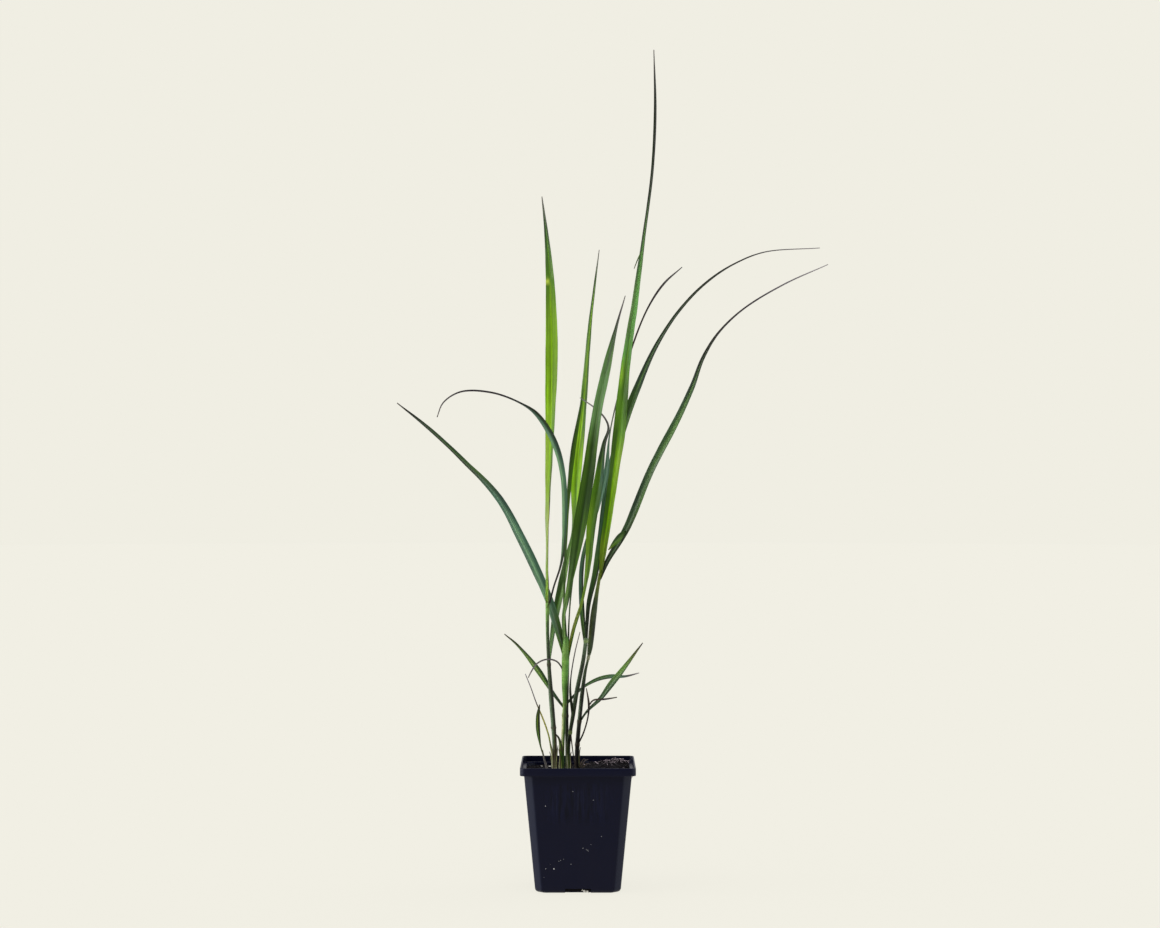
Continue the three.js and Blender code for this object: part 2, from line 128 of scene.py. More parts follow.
# Stem routes from the foot upwards: (x, y, z, radius)
LEFT_STEM = [(-17.6, -2, FOOT, 1.8), (-18, -2.3, 95, 1.8), (-18.6, -2.5, 116, 1.8), (-21, -4, 148, 1.9),
             (-23, -6, 178, 1.4), (-24, -7.5, 203, 1.3), (-24, -8, 224.5, 1.6)]
CENTRE_STEM = [(-12.4, -6, FOOT, 1.4), (-12.2, -6, 95, 1.4), (-12, -6, 112.5, 1.4), (-11, -6, 135.5, 1.5),
               (-10.5, -6, 145, 1.4), (-10.5, -6, 160, 2.2), (-10, -6, 178, 2.8), (-9.6, -6, 190, 2.6),
               (-9.3, -6, 195, 2), (-9.1, -6, 198, 0.9)]
BACK_STEM = [(-8.4, 8, FOOT, 1.6), (-8.4, 8, 95, 1.6), (-8.6, 8, 111, 1.5), (-9, 8, 134, 1.4),
             (-8.6, 8, 158.5, 1.4), (-8, 8, 188, 1.2)]
MIDDLE_STEM = [(-7.3, -3, FOOT, 1.5), (-7.4, -3, 95, 1.5), (-7.5, -3, 111.5, 1.5), (-6, -3, 123, 1.4),
               (-4, -2.8, 135, 1.6), (-1, -2, 154, 1.7), (4.2, -0.5, 179, 1.6), (6.5, 0, 196.5, 1.5)]
RIGHT_STEM = [(-1.2, 3, FOOT, 1.9), (-0.9, 3, 95, 1.9), (-0.5, 3, 111.5, 1.7), (1.5, 3, 134.5, 1.6),
              (3.5, 3.4, 153.5, 1.6), (5.8, 5, 170, 1.2), (8, 5.5, 179.5, 1), (9.6, 5.5, 189, 2.1),
              (12.3, 4, 214.5, 2.4), (15, 2.5, 232.5, 1.5), (17.5, 1.5, 247.5, 1.2)]
SHOOT_STEM = [(-24.2, -8, FOOT + 6, 0.8), (-24.6, -8.3, 94, 0.8), (-26.6, -9.2, 102, 0.7),
              (-28.2, -10, 109, 0.6)]
THREAD_STEM = [(-18.8, 7, FOOT + 8, 0.7), (-19.4, 7, 95, 0.7), (-20.5, 7, 103.5, 0.65), (-22, 7, 112, 0.6)]
STUB_STEM = [(-13, -11, FOOT + 4, 1.4), (-13, -11, 95, 1.4), (-13.4, -11.3, 111, 1.3),
             (-15, -12.5, 118.5, 0.8), (-18, -14, 122.5, 0.4)]

# Leaf routes from the collar to the tip: (x, y, z, full width, turn from square to the viewer in degrees)
LEFT_BRIGHT_LEAF = [(-24, -8, 221, 3.2, 35), (-24, -6.5, 258, 6.5, 76), (-23.5, 0, 305, 8.4, 62),
                    (-22, 12, 361, 9.6, 44), (-21, 28, 425, 10.2, 14), (-22.5, 44, 482, 7.2, 16),
                    (-26, 56, 524, 3.2, 20), (-29.5, 64, 552, 0.7, 20)]
LEFT_ARCHING_LEAF = [(-23.5, -8.5, 221, 2.6, -60), (-19.5, -10, 236.5, 4.5, -74), (-13.6, -13, 256, 5.2, -74),
                     (-10.8, -16, 290, 6.2, -52), (-12, -20, 325.5, 6.4, -50), (-19.2, -25, 352, 5.8, -34),
                     (-31.6, -31, 372, 4.4, -36), (-45, -37, 381.4, 2.8, -62), (-68, -44, 389.4, 2.6, -58),
                     (-91, -50, 389.5, 1.7, -50), (-104, -53, 381, 1.2, -40), (-108.5, -54, 370, 0.7, -30)]
LEFT_INNER_LEAF = [(-23, -5.5, 175, 2.4, 50), (-20, 6, 199.5, 5.5, 50), (-15, 15, 227.5, 7, 30),
                   (-9, 19, 256, 7.6, 58), (-3.5, 22, 281.5, 8.6, 78), (-1, 25, 329, 9.2, 26),
                   (4.5, 30, 381.5, 7, 42), (9.5, 36, 442, 4.5, 50), (17, 44, 507, 0.7, 50)]
CENTRE_BROAD_LEAF = [(-10, -6.4, 184, 4, 50), (-11, -9, 213, 6, 66), (-8.5, -11, 226.5, 7.5, 62),
                     (-4, -14, 251, 9.2, 54), (1.5, -18, 284.5, 10.8, 22), (8, -23, 324.5, 10.4, 24),
                     (15.5, -30, 376, 8.8, 34), (23, -36, 411.5, 6.8, 22), (30, -42, 441, 2.6, 38),
                     (36.5, -47, 464, 0.7, 40)]
CENTRE_FAR_LEFT_LEAF = [(-10, -5.6, 182, 4.6, -34), (-17.5, -1, 209, 7, -26), (-23, 4, 225.5, 8, -42),
                        (-32, 10, 246.5, 9.2, -38), (-44.5, 17, 272.5, 9, -40), (-65, 26, 308.5, 7, -40),
                        (-91, 34, 335.5, 5, -46), (-119.5, 42, 362, 3.4, -40), (-146.5, 50, 383.5, 0.7, -30)]
CENTRE_OLIVE_LEAF = [(-9, -6, 176, 3, 50), (-4, -6, 201, 5, 60), (4, -6, 227.5, 6.5, 71),
                     (8.5, -4, 256, 7.8, 58), (11, -3, 288, 8.6, 34), (16.5, -9, 321.5, 7.8, 24),
                     (20.5, -16, 349.5, 4.4, 43), (24, -18.5, 362, 2.4, 45), (22, -19, 368.5, 1.8, 48),
                     (15, -18, 376.5, 1.3, 30), (1.5, -15, 386, 0.7, 30)]
CENTRE_LOW_LEFT_LEAF = [(-10.8, -5.8, 141.5, 2, -40), (-20.5, 2.5, 153.5, 4, -52), (-31.5, 6, 170, 5.2, -38),
                        (-47.5, 9, 189.5, 2.8, -52), (-58.5, 11, 199, 0.7, -40)]
CENTRE_LOW_RIGHT_LEAF = [(-10.4, -5.6, 143, 1.8, 40), (-3, 3.4, 150.5, 3, 56), (5, 10, 157, 3.8, 64),
                         (16, 15, 162.5, 4.2, 50), (27, 20, 164.5, 3.8, 40), (37.5, 25, 164, 2.2, 44),
                         (49, 30, 166.5, 0.7, 40)]
CENTRE_THIN_ARCH = [(-11, -6.4, 170.5, 1.2, -30), (-16.5, -9, 178.5, 1.4, -40), (-24.5, -12, 180.5, 1.4, -40),
                    (-32, -15, 177.5, 1.3, -30), (-36.5, -17, 171.5, 1, -20), (-39, -18, 166.5, 0.7, -20)]
BACK_INNER_LEAF = [(-8.2, 8, 181, 2.6, -45), (-11, 6, 214.5, 4.5, -68), (-11, 4, 246, 5.2, -73),
                   (-9.5, 5, 281.5, 5.8, -70), (-7.5, 6, 313.5, 5.8, -60), (-3.5, 8, 348.5, 4.8, -41),
                   (1, 11, 373.5, 2.8, -45), (4, 13, 393, 0.7, -45)]
BACK_YOUNG_LEAF = [(-8, 8, 181, 1.6, 20), (-7, 9, 210, 1.8, 55), (-5, 9.5, 235.5, 1.9, 50),
                   (0, 10, 273.5, 1.6, 50), (8, 12, 321, 0.7, 50)]
MIDDLE_LONG_LEAF = [(6.5, 0, 191, 2.8, 50), (8.5, 4, 221.5, 5.2, 54), (14.5, 11, 249.5, 6.8, 46),
                    (19, 17, 281.5, 7.6, 51), (24, 22, 318, 8, 53), (33.5, 28, 355, 8.2, 39),
                    (46, 34, 391, 7, 32), (64.5, 42, 431.5, 4.6, 46), (85.5, 48, 462.5, 3, 43),
                    (107, 54, 483.5, 2.2, 40), (128.5, 60, 497.5, 1.6, 44), (152.5, 66, 507, 1.1, 40),
                    (198, 74, 511, 0.7, 40)]
MIDDLE_SLENDER_LEAF = [(6.3, 0, 190, 3.2, 40), (3.5, 1, 217, 4.6, 34), (3, 6, 250, 4.8, 46),
                       (7, 14, 272.5, 4.8, 62), (16, 19, 297.5, 4.8, 70), (22.5, 22, 327, 4.6, 36),
                       (25.5, 26, 358, 2.2, 66), (31.5, 31, 385.5, 1.6, 50), (43.5, 38, 428, 1.6, 40),
                       (56.5, 44, 460, 1.8, 44), (69.5, 50, 480, 1.8, 25), (84.5, 56, 494, 0.7, 30)]
MIDDLE_SPEAR = [(-3.8, -3.2, 134, 2.4, 0), (-6, -7, 154.5, 2, 35), (-5.5, -9, 167, 1.2, 48),
                (-2.5, -11, 185.5, 1, 40), (1.5, -13, 202, 0.7, 40)]
MIDDLE_HANGING_SHRED = [(-5.8, -3.4, 122, 1, 0), (-4.8, -6, 113.5, 0.9, 10), (-3.6, -7, 104.5, 0.8, 10),
                        (-2.5, -7.6, 97, 0.7, 10)]
RIGHT_TALLEST_LEAF = [(17.5, 1.5, 243, 2.4, 48), (20, 0.5, 264.5, 6.2, 35), (24.5, -2, 296, 8.4, 38),
                      (29, -3, 329.5, 10, 38), (33, -2, 361, 10.8, 28), (38, 2, 411.5, 9, 38),
                      (46, 9, 466.5, 6.4, 43), (53.5, 17, 522, 3.4, 45), (59.5, 24, 569, 2.6, 36),
                      (62, 31, 618, 2.4, 27), (61, 38, 667.5, 0.7, 30)]
RIGHT_ARCHING_LEAF = [(17.5, 1.5, 243, 2.6, 48), (23.5, -2, 257.5, 5, 46), (38, -9, 282, 7.4, 43),
                      (57, -18, 328.5, 7.8, 45), (75, -26, 363.5, 7, 40), (88, -33, 391.5, 5.6, 44),
                      (97.5, -39, 417, 3.6, 45), (108, -44, 434.5, 2.5, 47), (127, -52, 453, 1.9, 52),
                      (158.5, -62, 472, 1.5, 47), (191, -70, 486.5, 0.7, 45)]
RIGHT_TORN_FLAP = [(38, -9.6, 281, 1.4, 40), (34.6, -10, 278.6, 4.2, 10), (31, -10.4, 274.4, 4.8, 6),
                   (27.4, -10.8, 270.4, 3, 10), (24, -11, 266.3, 0.7, 20)]
RIGHT_TORN_SLIVER = [(50.6, 11, 503, 0.7, 40), (48.6, 10, 499, 1, 40), (46.5, 9, 494, 0.9, 40),
                     (44.6, 8, 489, 0.5, 40)]
RIGHT_LOW_LEAF = [(1.4, 3, 129.5, 1.8, 55), (7, -3.5, 138.5, 3, 60), (17.5, -9, 149, 4.6, 53),
                  (26.5, -14, 161.5, 5.8, 37), (36, -19, 174, 4.2, 34), (50.5, -27, 194.5, 0.7, 34)]
RIGHT_DRIED_LEAF = [(0, 2.6, 112, 1.2, 0), (4.5, -5, 122.5, 1.2, 20), (8, -11, 136, 1.2, 20),
                    (8.5, -13, 146, 1.8, 30), (6.5, -15, 158, 0.7, 30)]
RIGHT_DRIED_SIDE_LEAF = [(8.4, -12.8, 144, 1, 20), (12, -14, 148.5, 1.4, 40), (20.5, -17, 149.5, 1.6, 40),
                         (30.5, -21, 151.5, 0.7, 30)]
SHOOT_LEAF = [(-27.8, -9.8, 106.5, 1, 0), (-29.6, -10.4, 113, 1.4, -30), (-31.4, -11, 125, 3.9, -38),
              (-31.6, -12, 136, 3.5, -35), (-30, -13, 145, 0.7, -20)]
THREAD_LEAF = [(-21.6, 7, 110, 1, 0), (-23.4, 7.2, 119, 1.2, 20), (-27.5, 8, 131, 1.3, 20),
               (-33, 9, 144, 0.9, 20), (-38, 11, 157.5, 0.8, 20), (-42, 13, 167, 0.7, 20)]

# Dry scraps of old sheath that cling to the stems' feet, as short leaves
SHEATH_SCRAPS = [
    [(-19.6, -3.2, 91, 1.8, 20), (-20, -3.6, 100, 1.9, 35), (-20.6, -4, 109, 1.2, 50),
     (-22.4, -4.6, 116, 0.5, 60)],
    [(-16.6, -3.8, 91, 1.6, -30), (-16.8, -4.2, 98, 1.7, -35), (-16.4, -4.6, 106, 1, -30),
     (-15.6, -5, 112, 0.5, -30)],
    [(-14.2, -11.8, 91, 1.5, 10), (-14.4, -12.3, 97, 1.6, 25), (-14.2, -12.6, 104, 1, 30),
     (-15.2, -13.2, 110, 0.5, 30)],
    [(-5.8, -4, 91, 1.5, -20), (-5.6, -4.6, 97, 1.5, -35), (-5.9, -4.8, 103, 0.9, -30),
     (-5.2, -5, 107, 0.5, -30)],
    [(0.8, 2.2, 91, 1.6, 25), (1.1, 1.6, 98, 1.6, 35), (1.1, 1.3, 105, 0.9, 40), (1.8, 1, 110, 0.5, 40)],
    [(-20, 6.3, 91, 1.2, -20), (-20.5, 6, 96, 1.2, -35), (-21.4, 5.6, 102, 0.8, -30),
     (-22.4, 5.4, 106, 0.5, -30)],
]
TWIGS = [
    [(1, 5, 91.5, 0.9, 20), (3, 7, 95, 0.9, 30), (5.6, 9, 98.6, 0.8, 40), (8, 10.5, 99.4, 0.5, 40)],
    [(0.6, 6, 91.5, 0.9, 20), (2, 8.5, 96, 0.9, 30), (4.8, 11, 99.8, 0.7, 40), (6.8, 12.5, 98.2, 0.5, 40)],
    [(1.4, 4, 91.5, 0.9, 20), (4, 7, 93.5, 0.9, 30), (7, 9.5, 96, 0.8, 40), (10, 12, 95.2, 0.5, 40)],
]

# The grass's colours, as sRGB. LIT_FERN and LIT_TEAL are painted light, lit copies of fern and teal;
# GLOWING_LIME is painted light that shines through a leaf; DEEP_SHADE is painted shade
GLOWING_LIME = "#9ECC2E"
LIME = "#86B416"
FRESH_GREEN = "#7EA62C"
YELLOW_GREEN = "#8CAC2E"
CULM_GREEN = "#74A24A"
MEADOW = "#5C9442"
PALE_SAGE = "#92A862"
SAGE = "#70944A"
GRASS = "#5C8A22"
MOSS = "#44691A"
FOREST = "#2B4814"
DEEP_SHADE = "#233218"
FERN = "#587A40"
LIT_FERN = "#668E54"
PINE = "#3F5C38"
DARK_PINE = "#2E4230"
LIT_TEAL = "#8EB694"
PALE_TEAL = "#6E907A"
TEAL = "#547A64"
DARK_TEAL = "#3B5448"
PALE_OLIVE = "#9CA652"
OLIVE = "#788A2E"
DARK_OLIVE = "#566030"
GREY_GREEN = "#60745A"
DULL_GREEN = "#404E36"
CHARCOAL = "#2E322A"
SOOT = "#2A2422"
# Painted shade: near black, for the lower stems where they stand under the leaves and between each other
NEAR_BLACK_SHADE = "#10120E"
PLUM = "#3C343A"
ASH = "#5C5658"
TIP_GREY = "#76706E"
PALE_TIP = "#918B92"
STRAW = "#AAA452"
CREAM_GREEN = "#B0B284"
CREAM = "#EEF0C8"
TORN_YELLOW = "#CCDC5A"
CORK = "#746A50"
BARK = "#4A4034"

# The light that comes through a living leaf: its tint, and its share of the light that the leaf gives off
LIGHT_THROUGH_LEAF = (1.25, 1.2, 0.55, 1)
SHARE_LIT_THROUGH = 0.3

# The pot's colours and the stage's, as sRGB
NAVY_BLACK = "#080B23"
DUST_FILM = "#1C1926"
# Painted sheen: the paler tone that the pot's chamfers are painted, as if lit from the side
PAINTED_CHAMFER_SHEEN = "#1E2234"
BACKDROP = "#F0EEE3"
FLOOR_TONE = "#3E3D3A"

# The stage and camera: in metres, the sensor in millimetres, and the focal length in the photo's pixels
FLOOR_RADIUS = 9.0
FLOOR_DROP = 0.0002
FLOOR_GLOW = 0.93
CAMERA_PLACE = (0.0016, -2.065, 0.334)
SENSOR_WIDTH = 36
FOCAL_PIXELS = 2612
PHOTO_PIXELS = 1160

# Leaf colours: share of the length, then one colour, or those of the left edge, the middle and the right
# edge.
# Where the edges differ, this is partly the leaf's own colour and partly painted light on one half of its
# fold and painted shade on the other
LEFT_BRIGHT_COLOURS = [
    (0, DARK_OLIVE, SAGE, DARK_OLIVE), (0.04, FRESH_GREEN, FRESH_GREEN, DARK_OLIVE),
    (0.12, PALE_SAGE, OLIVE, DARK_OLIVE), (0.2, PALE_SAGE, PALE_OLIVE, DARK_OLIVE),
    (0.27, YELLOW_GREEN, FRESH_GREEN, DARK_OLIVE), (0.4, YELLOW_GREEN, LIME, GRASS),
    (0.5, LIME, LIME, FRESH_GREEN), (0.7, FRESH_GREEN, LIME, FRESH_GREEN), (0.776, GRASS, FRESH_GREEN, GRASS),
    (0.78, TORN_YELLOW, FRESH_GREEN, GRASS), (0.789, TORN_YELLOW, GRASS, GRASS), (0.793, GRASS, GRASS, SAGE),
    (0.86, FERN, GRASS, FERN), (0.92, PINE, FERN, DULL_GREEN), (1, TIP_GREY)]
LEFT_ARCHING_COLOURS = [
    (0, CHARCOAL), (0.12, ASH), (0.18, TEAL, LIT_TEAL, GREY_GREEN), (0.28, LIT_TEAL, LIT_TEAL, TEAL),
    (0.42, LIT_TEAL, LIT_TEAL, TEAL), (0.5, LIT_TEAL, PALE_TEAL, DARK_TEAL),
    (0.6, PALE_TEAL, TEAL, DULL_GREEN), (0.68, DARK_TEAL, CHARCOAL, CHARCOAL), (0.75, PLUM, SOOT, PLUM),
    (0.9, PLUM), (1, TIP_GREY)]
LEFT_INNER_COLOURS = [
    (0, FERN), (0.07, FERN, FERN, PINE), (0.12, FOREST, MOSS, FERN), (0.2, FOREST, FOREST, SAGE),
    (0.27, MOSS, MOSS, SAGE), (0.34, MOSS, GRASS, FRESH_GREEN), (0.42, LIME, GRASS, GLOWING_LIME),
    (0.5, GLOWING_LIME, LIME, GLOWING_LIME), (0.57, GLOWING_LIME, GLOWING_LIME, GRASS),
    (0.63, GRASS, FRESH_GREEN, MOSS), (0.72, SAGE, FRESH_GREEN, MOSS), (0.85, FERN, FRESH_GREEN, MOSS),
    (0.93, DULL_GREEN, FERN, DULL_GREEN), (1, TIP_GREY)]
CENTRE_BROAD_COLOURS = [
    (0, SAGE, CULM_GREEN, SAGE), (0.06, FERN, SAGE, FERN), (0.12, FERN, SAGE, PINE),
    (0.17, SAGE, FOREST, FOREST), (0.25, FERN, FOREST, MOSS), (0.36, MOSS, FOREST, MOSS),
    (0.43, MOSS, FOREST, FOREST), (0.5, MOSS, FOREST, FOREST), (0.58, MOSS, FOREST, MOSS),
    (0.66, LIT_FERN, FERN, LIT_FERN), (0.76, LIT_FERN, LIT_FERN, LIT_FERN),
    (0.84, LIT_FERN, GREY_GREEN, FERN), (0.9, DULL_GREEN, GREY_GREEN, DULL_GREEN), (0.95, ASH), (1, TIP_GREY)]
CENTRE_FAR_LEFT_COLOURS = [
    (0, CULM_GREEN, SAGE, FERN), (0.05, SAGE, GREY_GREEN, FOREST), (0.12, PALE_TEAL, GREY_GREEN, FERN),
    (0.18, LIT_TEAL, PALE_TEAL, TEAL), (0.3, PALE_TEAL, LIT_TEAL, TEAL), (0.42, PALE_TEAL, LIT_TEAL, TEAL),
    (0.55, TEAL, PALE_TEAL, DARK_TEAL), (0.66, DULL_GREEN, GREY_GREEN, FERN), (0.76, CHARCOAL, FERN, PINE),
    (0.88, CHARCOAL, GREY_GREEN, DULL_GREEN), (0.95, CHARCOAL), (1, BARK)]
CENTRE_OLIVE_COLOURS = [
    (0, SAGE, FRESH_GREEN, OLIVE), (0.06, PALE_OLIVE, OLIVE, MOSS), (0.14, PALE_OLIVE, OLIVE, GRASS),
    (0.24, FRESH_GREEN, OLIVE, FRESH_GREEN), (0.3, FRESH_GREEN, MOSS, FRESH_GREEN),
    (0.4, FRESH_GREEN, MOSS, GRASS), (0.46, FRESH_GREEN, GRASS, MOSS), (0.53, FRESH_GREEN, GRASS, MOSS),
    (0.61, GRASS, MOSS, FERN), (0.67, GRASS, GRASS, TEAL), (0.74, PINE, FERN, PINE),
    (0.8, DULL_GREEN, DULL_GREEN, CHARCOAL), (0.87, ASH), (1, PALE_TIP)]
CENTRE_LOW_LEFT_COLOURS = [
    (0, DEEP_SHADE), (0.2, PINE), (0.35, SAGE, SAGE, PINE), (0.6, SAGE, PALE_SAGE, FERN),
    (0.78, FERN, DARK_OLIVE, DULL_GREEN), (1, BARK)]
CENTRE_LOW_RIGHT_COLOURS = [
    (0, DEEP_SHADE), (0.2, DEEP_SHADE), (0.4, PINE, FERN, DARK_PINE), (0.6, FERN, GREY_GREEN, PINE),
    (0.78, TEAL), (0.88, ASH), (1, PALE_TIP)]
THIN_ARCH_COLOURS = [(0, DULL_GREEN), (0.3, ASH), (1, TIP_GREY)]
BACK_INNER_COLOURS = [
    (0, PINE), (0.16, SAGE, SAGE, FERN), (0.31, DULL_GREEN, SAGE, FERN), (0.47, PINE, FERN, MOSS),
    (0.62, MOSS), (0.8, FOREST, MOSS, GRASS), (1, FERN)]
BACK_YOUNG_COLOURS = [(0, DEEP_SHADE, DULL_GREEN, DEEP_SHADE), (0.6, PINE, FERN, DULL_GREEN), (1, GREY_GREEN)]
MIDDLE_LONG_COLOURS = [
    (0, DULL_GREEN), (0.05, DEEP_SHADE), (0.1, PINE, FOREST, DEEP_SHADE), (0.16, FERN, MOSS, FOREST),
    (0.22, TEAL, PINE, DARK_PINE), (0.31, PALE_TEAL, TEAL, PINE), (0.38, TEAL, FERN, MOSS),
    (0.45, MOSS, FOREST, FERN), (0.52, DARK_PINE, FERN, DARK_PINE), (0.62, DEEP_SHADE, GREY_GREEN, CHARCOAL),
    (0.72, CHARCOAL, DULL_GREEN, SOOT), (0.86, SOOT), (1, PALE_TIP)]
MIDDLE_SLENDER_COLOURS = [
    (0, DULL_GREEN), (0.06, FERN, FERN, DARK_PINE), (0.12, TEAL, PINE, DEEP_SHADE),
    (0.18, TEAL, DARK_TEAL, DARK_PINE), (0.26, PINE, FERN, PINE), (0.35, TEAL, PALE_TEAL, TEAL),
    (0.48, TEAL, PALE_TEAL, TEAL), (0.56, GREY_GREEN, ASH, CHARCOAL), (0.7, BARK), (0.86, SOOT), (1, ASH)]
SPEAR_COLOURS = [(0, DEEP_SHADE), (0.4, CHARCOAL), (0.6, PLUM), (1, TIP_GREY)]
RIGHT_TALLEST_COLOURS = [
    (0, OLIVE), (0.06, YELLOW_GREEN), (0.1, GRASS, LIME, GLOWING_LIME), (0.15, MOSS, LIME, GLOWING_LIME),
    (0.22, MOSS, LIME, YELLOW_GREEN), (0.27, MOSS, GRASS, GRASS), (0.31, GRASS, GRASS, MOSS),
    (0.35, GRASS, MOSS, MOSS), (0.38, FRESH_GREEN, MOSS, GRASS), (0.42, MEADOW, GRASS, MEADOW),
    (0.46, FERN, MEADOW, MEADOW), (0.53, FERN, MEADOW, MEADOW), (0.6, PINE, MEADOW, FERN),
    (0.66, DULL_GREEN, FERN, DULL_GREEN), (0.72, CHARCOAL, DULL_GREEN, CHARCOAL),
    (0.8, DEEP_SHADE, CHARCOAL, SOOT), (0.94, CHARCOAL), (1, TIP_GREY)]
RIGHT_ARCHING_COLOURS = [
    (0, CHARCOAL, DULL_GREEN, CHARCOAL), (0.06, DULL_GREEN, GREY_GREEN, DULL_GREEN),
    (0.14, PINE, GREY_GREEN, DULL_GREEN), (0.22, DARK_PINE, GREY_GREEN, FERN), (0.32, PINE, FERN, GREY_GREEN),
    (0.43, PINE, FERN, FERN), (0.53, DARK_PINE, FERN, PINE), (0.61, CHARCOAL, DULL_GREEN, CHARCOAL),
    (0.68, SOOT, CHARCOAL, SOOT), (0.8, PLUM), (1, PALE_TIP)]
TORN_FLAP_COLOURS = [(0, PINE, FERN, FERN), (0.4, SAGE, FERN, PINE), (0.7, GRASS, SAGE, FERN), (1, OLIVE)]
TORN_SLIVER_COLOURS = [(0, SAGE), (1, DULL_GREEN)]
RIGHT_LOW_COLOURS = [
    (0, DEEP_SHADE), (0.2, DARK_PINE, PINE, DARK_PINE), (0.35, PINE, GREY_GREEN, DARK_PINE),
    (0.52, FERN, GREY_GREEN, PINE), (0.7, SAGE, SAGE, FERN), (0.85, DARK_OLIVE), (1, BARK)]
DRY_COLOURS = [(0, SOOT, BARK, SOOT), (0.3, BARK, BARK, SOOT), (0.6, SOOT, PLUM, SOOT), (1, BARK)]
SCRAP_COLOURS = [(0, CREAM, CORK, BARK), (0.45, CREAM_GREEN, DARK_OLIVE, BARK), (1, BARK)]
TWIG_COLOURS = [(0, SOOT), (0.5, BARK), (1, ASH)]
SHOOT_COLOURS = [
    (0, DARK_OLIVE), (0.3, FERN, SAGE, DULL_GREEN), (0.7, FERN, OLIVE, DULL_GREEN), (0.9, DULL_GREEN),
    (1, BARK)]
THREAD_COLOURS = [(0, OLIVE), (0.35, STRAW), (0.6, ASH), (1, PALE_TIP)]

# Stem colours: height in millimetres, then colours in the same way. Paler left and darker right edges are
# partly the stems' own colour and partly painted light from the left and painted shade on the right
LEFT_STEM_COLOURS = [
    (90, CREAM, CORK, BARK), (95, CREAM_GREEN, BARK, SOOT), (104, CORK, BARK, BARK),
    (114, GREY_GREEN, DARK_OLIVE, BARK), (126, GREY_GREEN, DULL_GREEN, CHARCOAL),
    (150, GREY_GREEN, DULL_GREEN, CHARCOAL), (165, DULL_GREEN, DULL_GREEN, CHARCOAL),
    (190, DULL_GREEN, DULL_GREEN, CHARCOAL), (205, FERN, DULL_GREEN, PINE), (222, SAGE)]
CENTRE_STEM_COLOURS = [
    (90, CREAM, CREAM_GREEN, FOREST), (95, CREAM, OLIVE, FOREST), (108, SAGE, PALE_OLIVE, FOREST),
    (118, CREAM_GREEN, SAGE, FOREST), (128, CREAM_GREEN, SAGE, FOREST), (136, PALE_SAGE, GREY_GREEN, FOREST),
    (146, SAGE, FERN, MOSS), (156, CULM_GREEN, MEADOW, MOSS), (175, CULM_GREEN, CULM_GREEN, MEADOW),
    (190, SAGE), (198, MEADOW)]
BACK_STEM_COLOURS = [
    (90, DARK_OLIVE, CHARCOAL, NEAR_BLACK_SHADE), (104, DEEP_SHADE, NEAR_BLACK_SHADE, NEAR_BLACK_SHADE),
    (138, DEEP_SHADE, NEAR_BLACK_SHADE, NEAR_BLACK_SHADE), (165, DULL_GREEN), (190, PINE)]
MIDDLE_STEM_COLOURS = [
    (90, CREAM, PALE_OLIVE, FOREST), (95, CREAM, OLIVE, FOREST), (106, DARK_OLIVE, FOREST, CHARCOAL),
    (116, DEEP_SHADE, NEAR_BLACK_SHADE, NEAR_BLACK_SHADE), (136, DULL_GREEN, DEEP_SHADE, NEAR_BLACK_SHADE),
    (152, GREY_GREEN, DULL_GREEN, DEEP_SHADE), (175, DULL_GREEN, CHARCOAL, CHARCOAL), (196, GREY_GREEN)]
RIGHT_STEM_COLOURS = [
    (90, BARK, SOOT, NEAR_BLACK_SHADE), (100, SOOT, NEAR_BLACK_SHADE, NEAR_BLACK_SHADE),
    (126, CHARCOAL, NEAR_BLACK_SHADE, NEAR_BLACK_SHADE), (138, GREY_GREEN, CHARCOAL, NEAR_BLACK_SHADE),
    (150, DULL_GREEN, CHARCOAL, NEAR_BLACK_SHADE), (168, DULL_GREEN, DULL_GREEN, CHARCOAL), (178, DULL_GREEN),
    (180, CREAM), (183, DULL_GREEN), (200, DARK_OLIVE, DULL_GREEN, CHARCOAL), (225, DULL_GREEN), (247, OLIVE)]
SHOOT_STEM_COLOURS = [(90, TIP_GREY), (103, TIP_GREY), (110, DARK_OLIVE)]
THREAD_STEM_COLOURS = [(90, BARK), (112, OLIVE)]
STUB_COLOURS = [
    (90, CREAM, CREAM_GREEN, DARK_OLIVE), (96, CREAM_GREEN, PALE_OLIVE, FOREST), (103, MOSS, MOSS, FOREST),
    (112, DARK_OLIVE, MOSS, SOOT), (123, SOOT)]

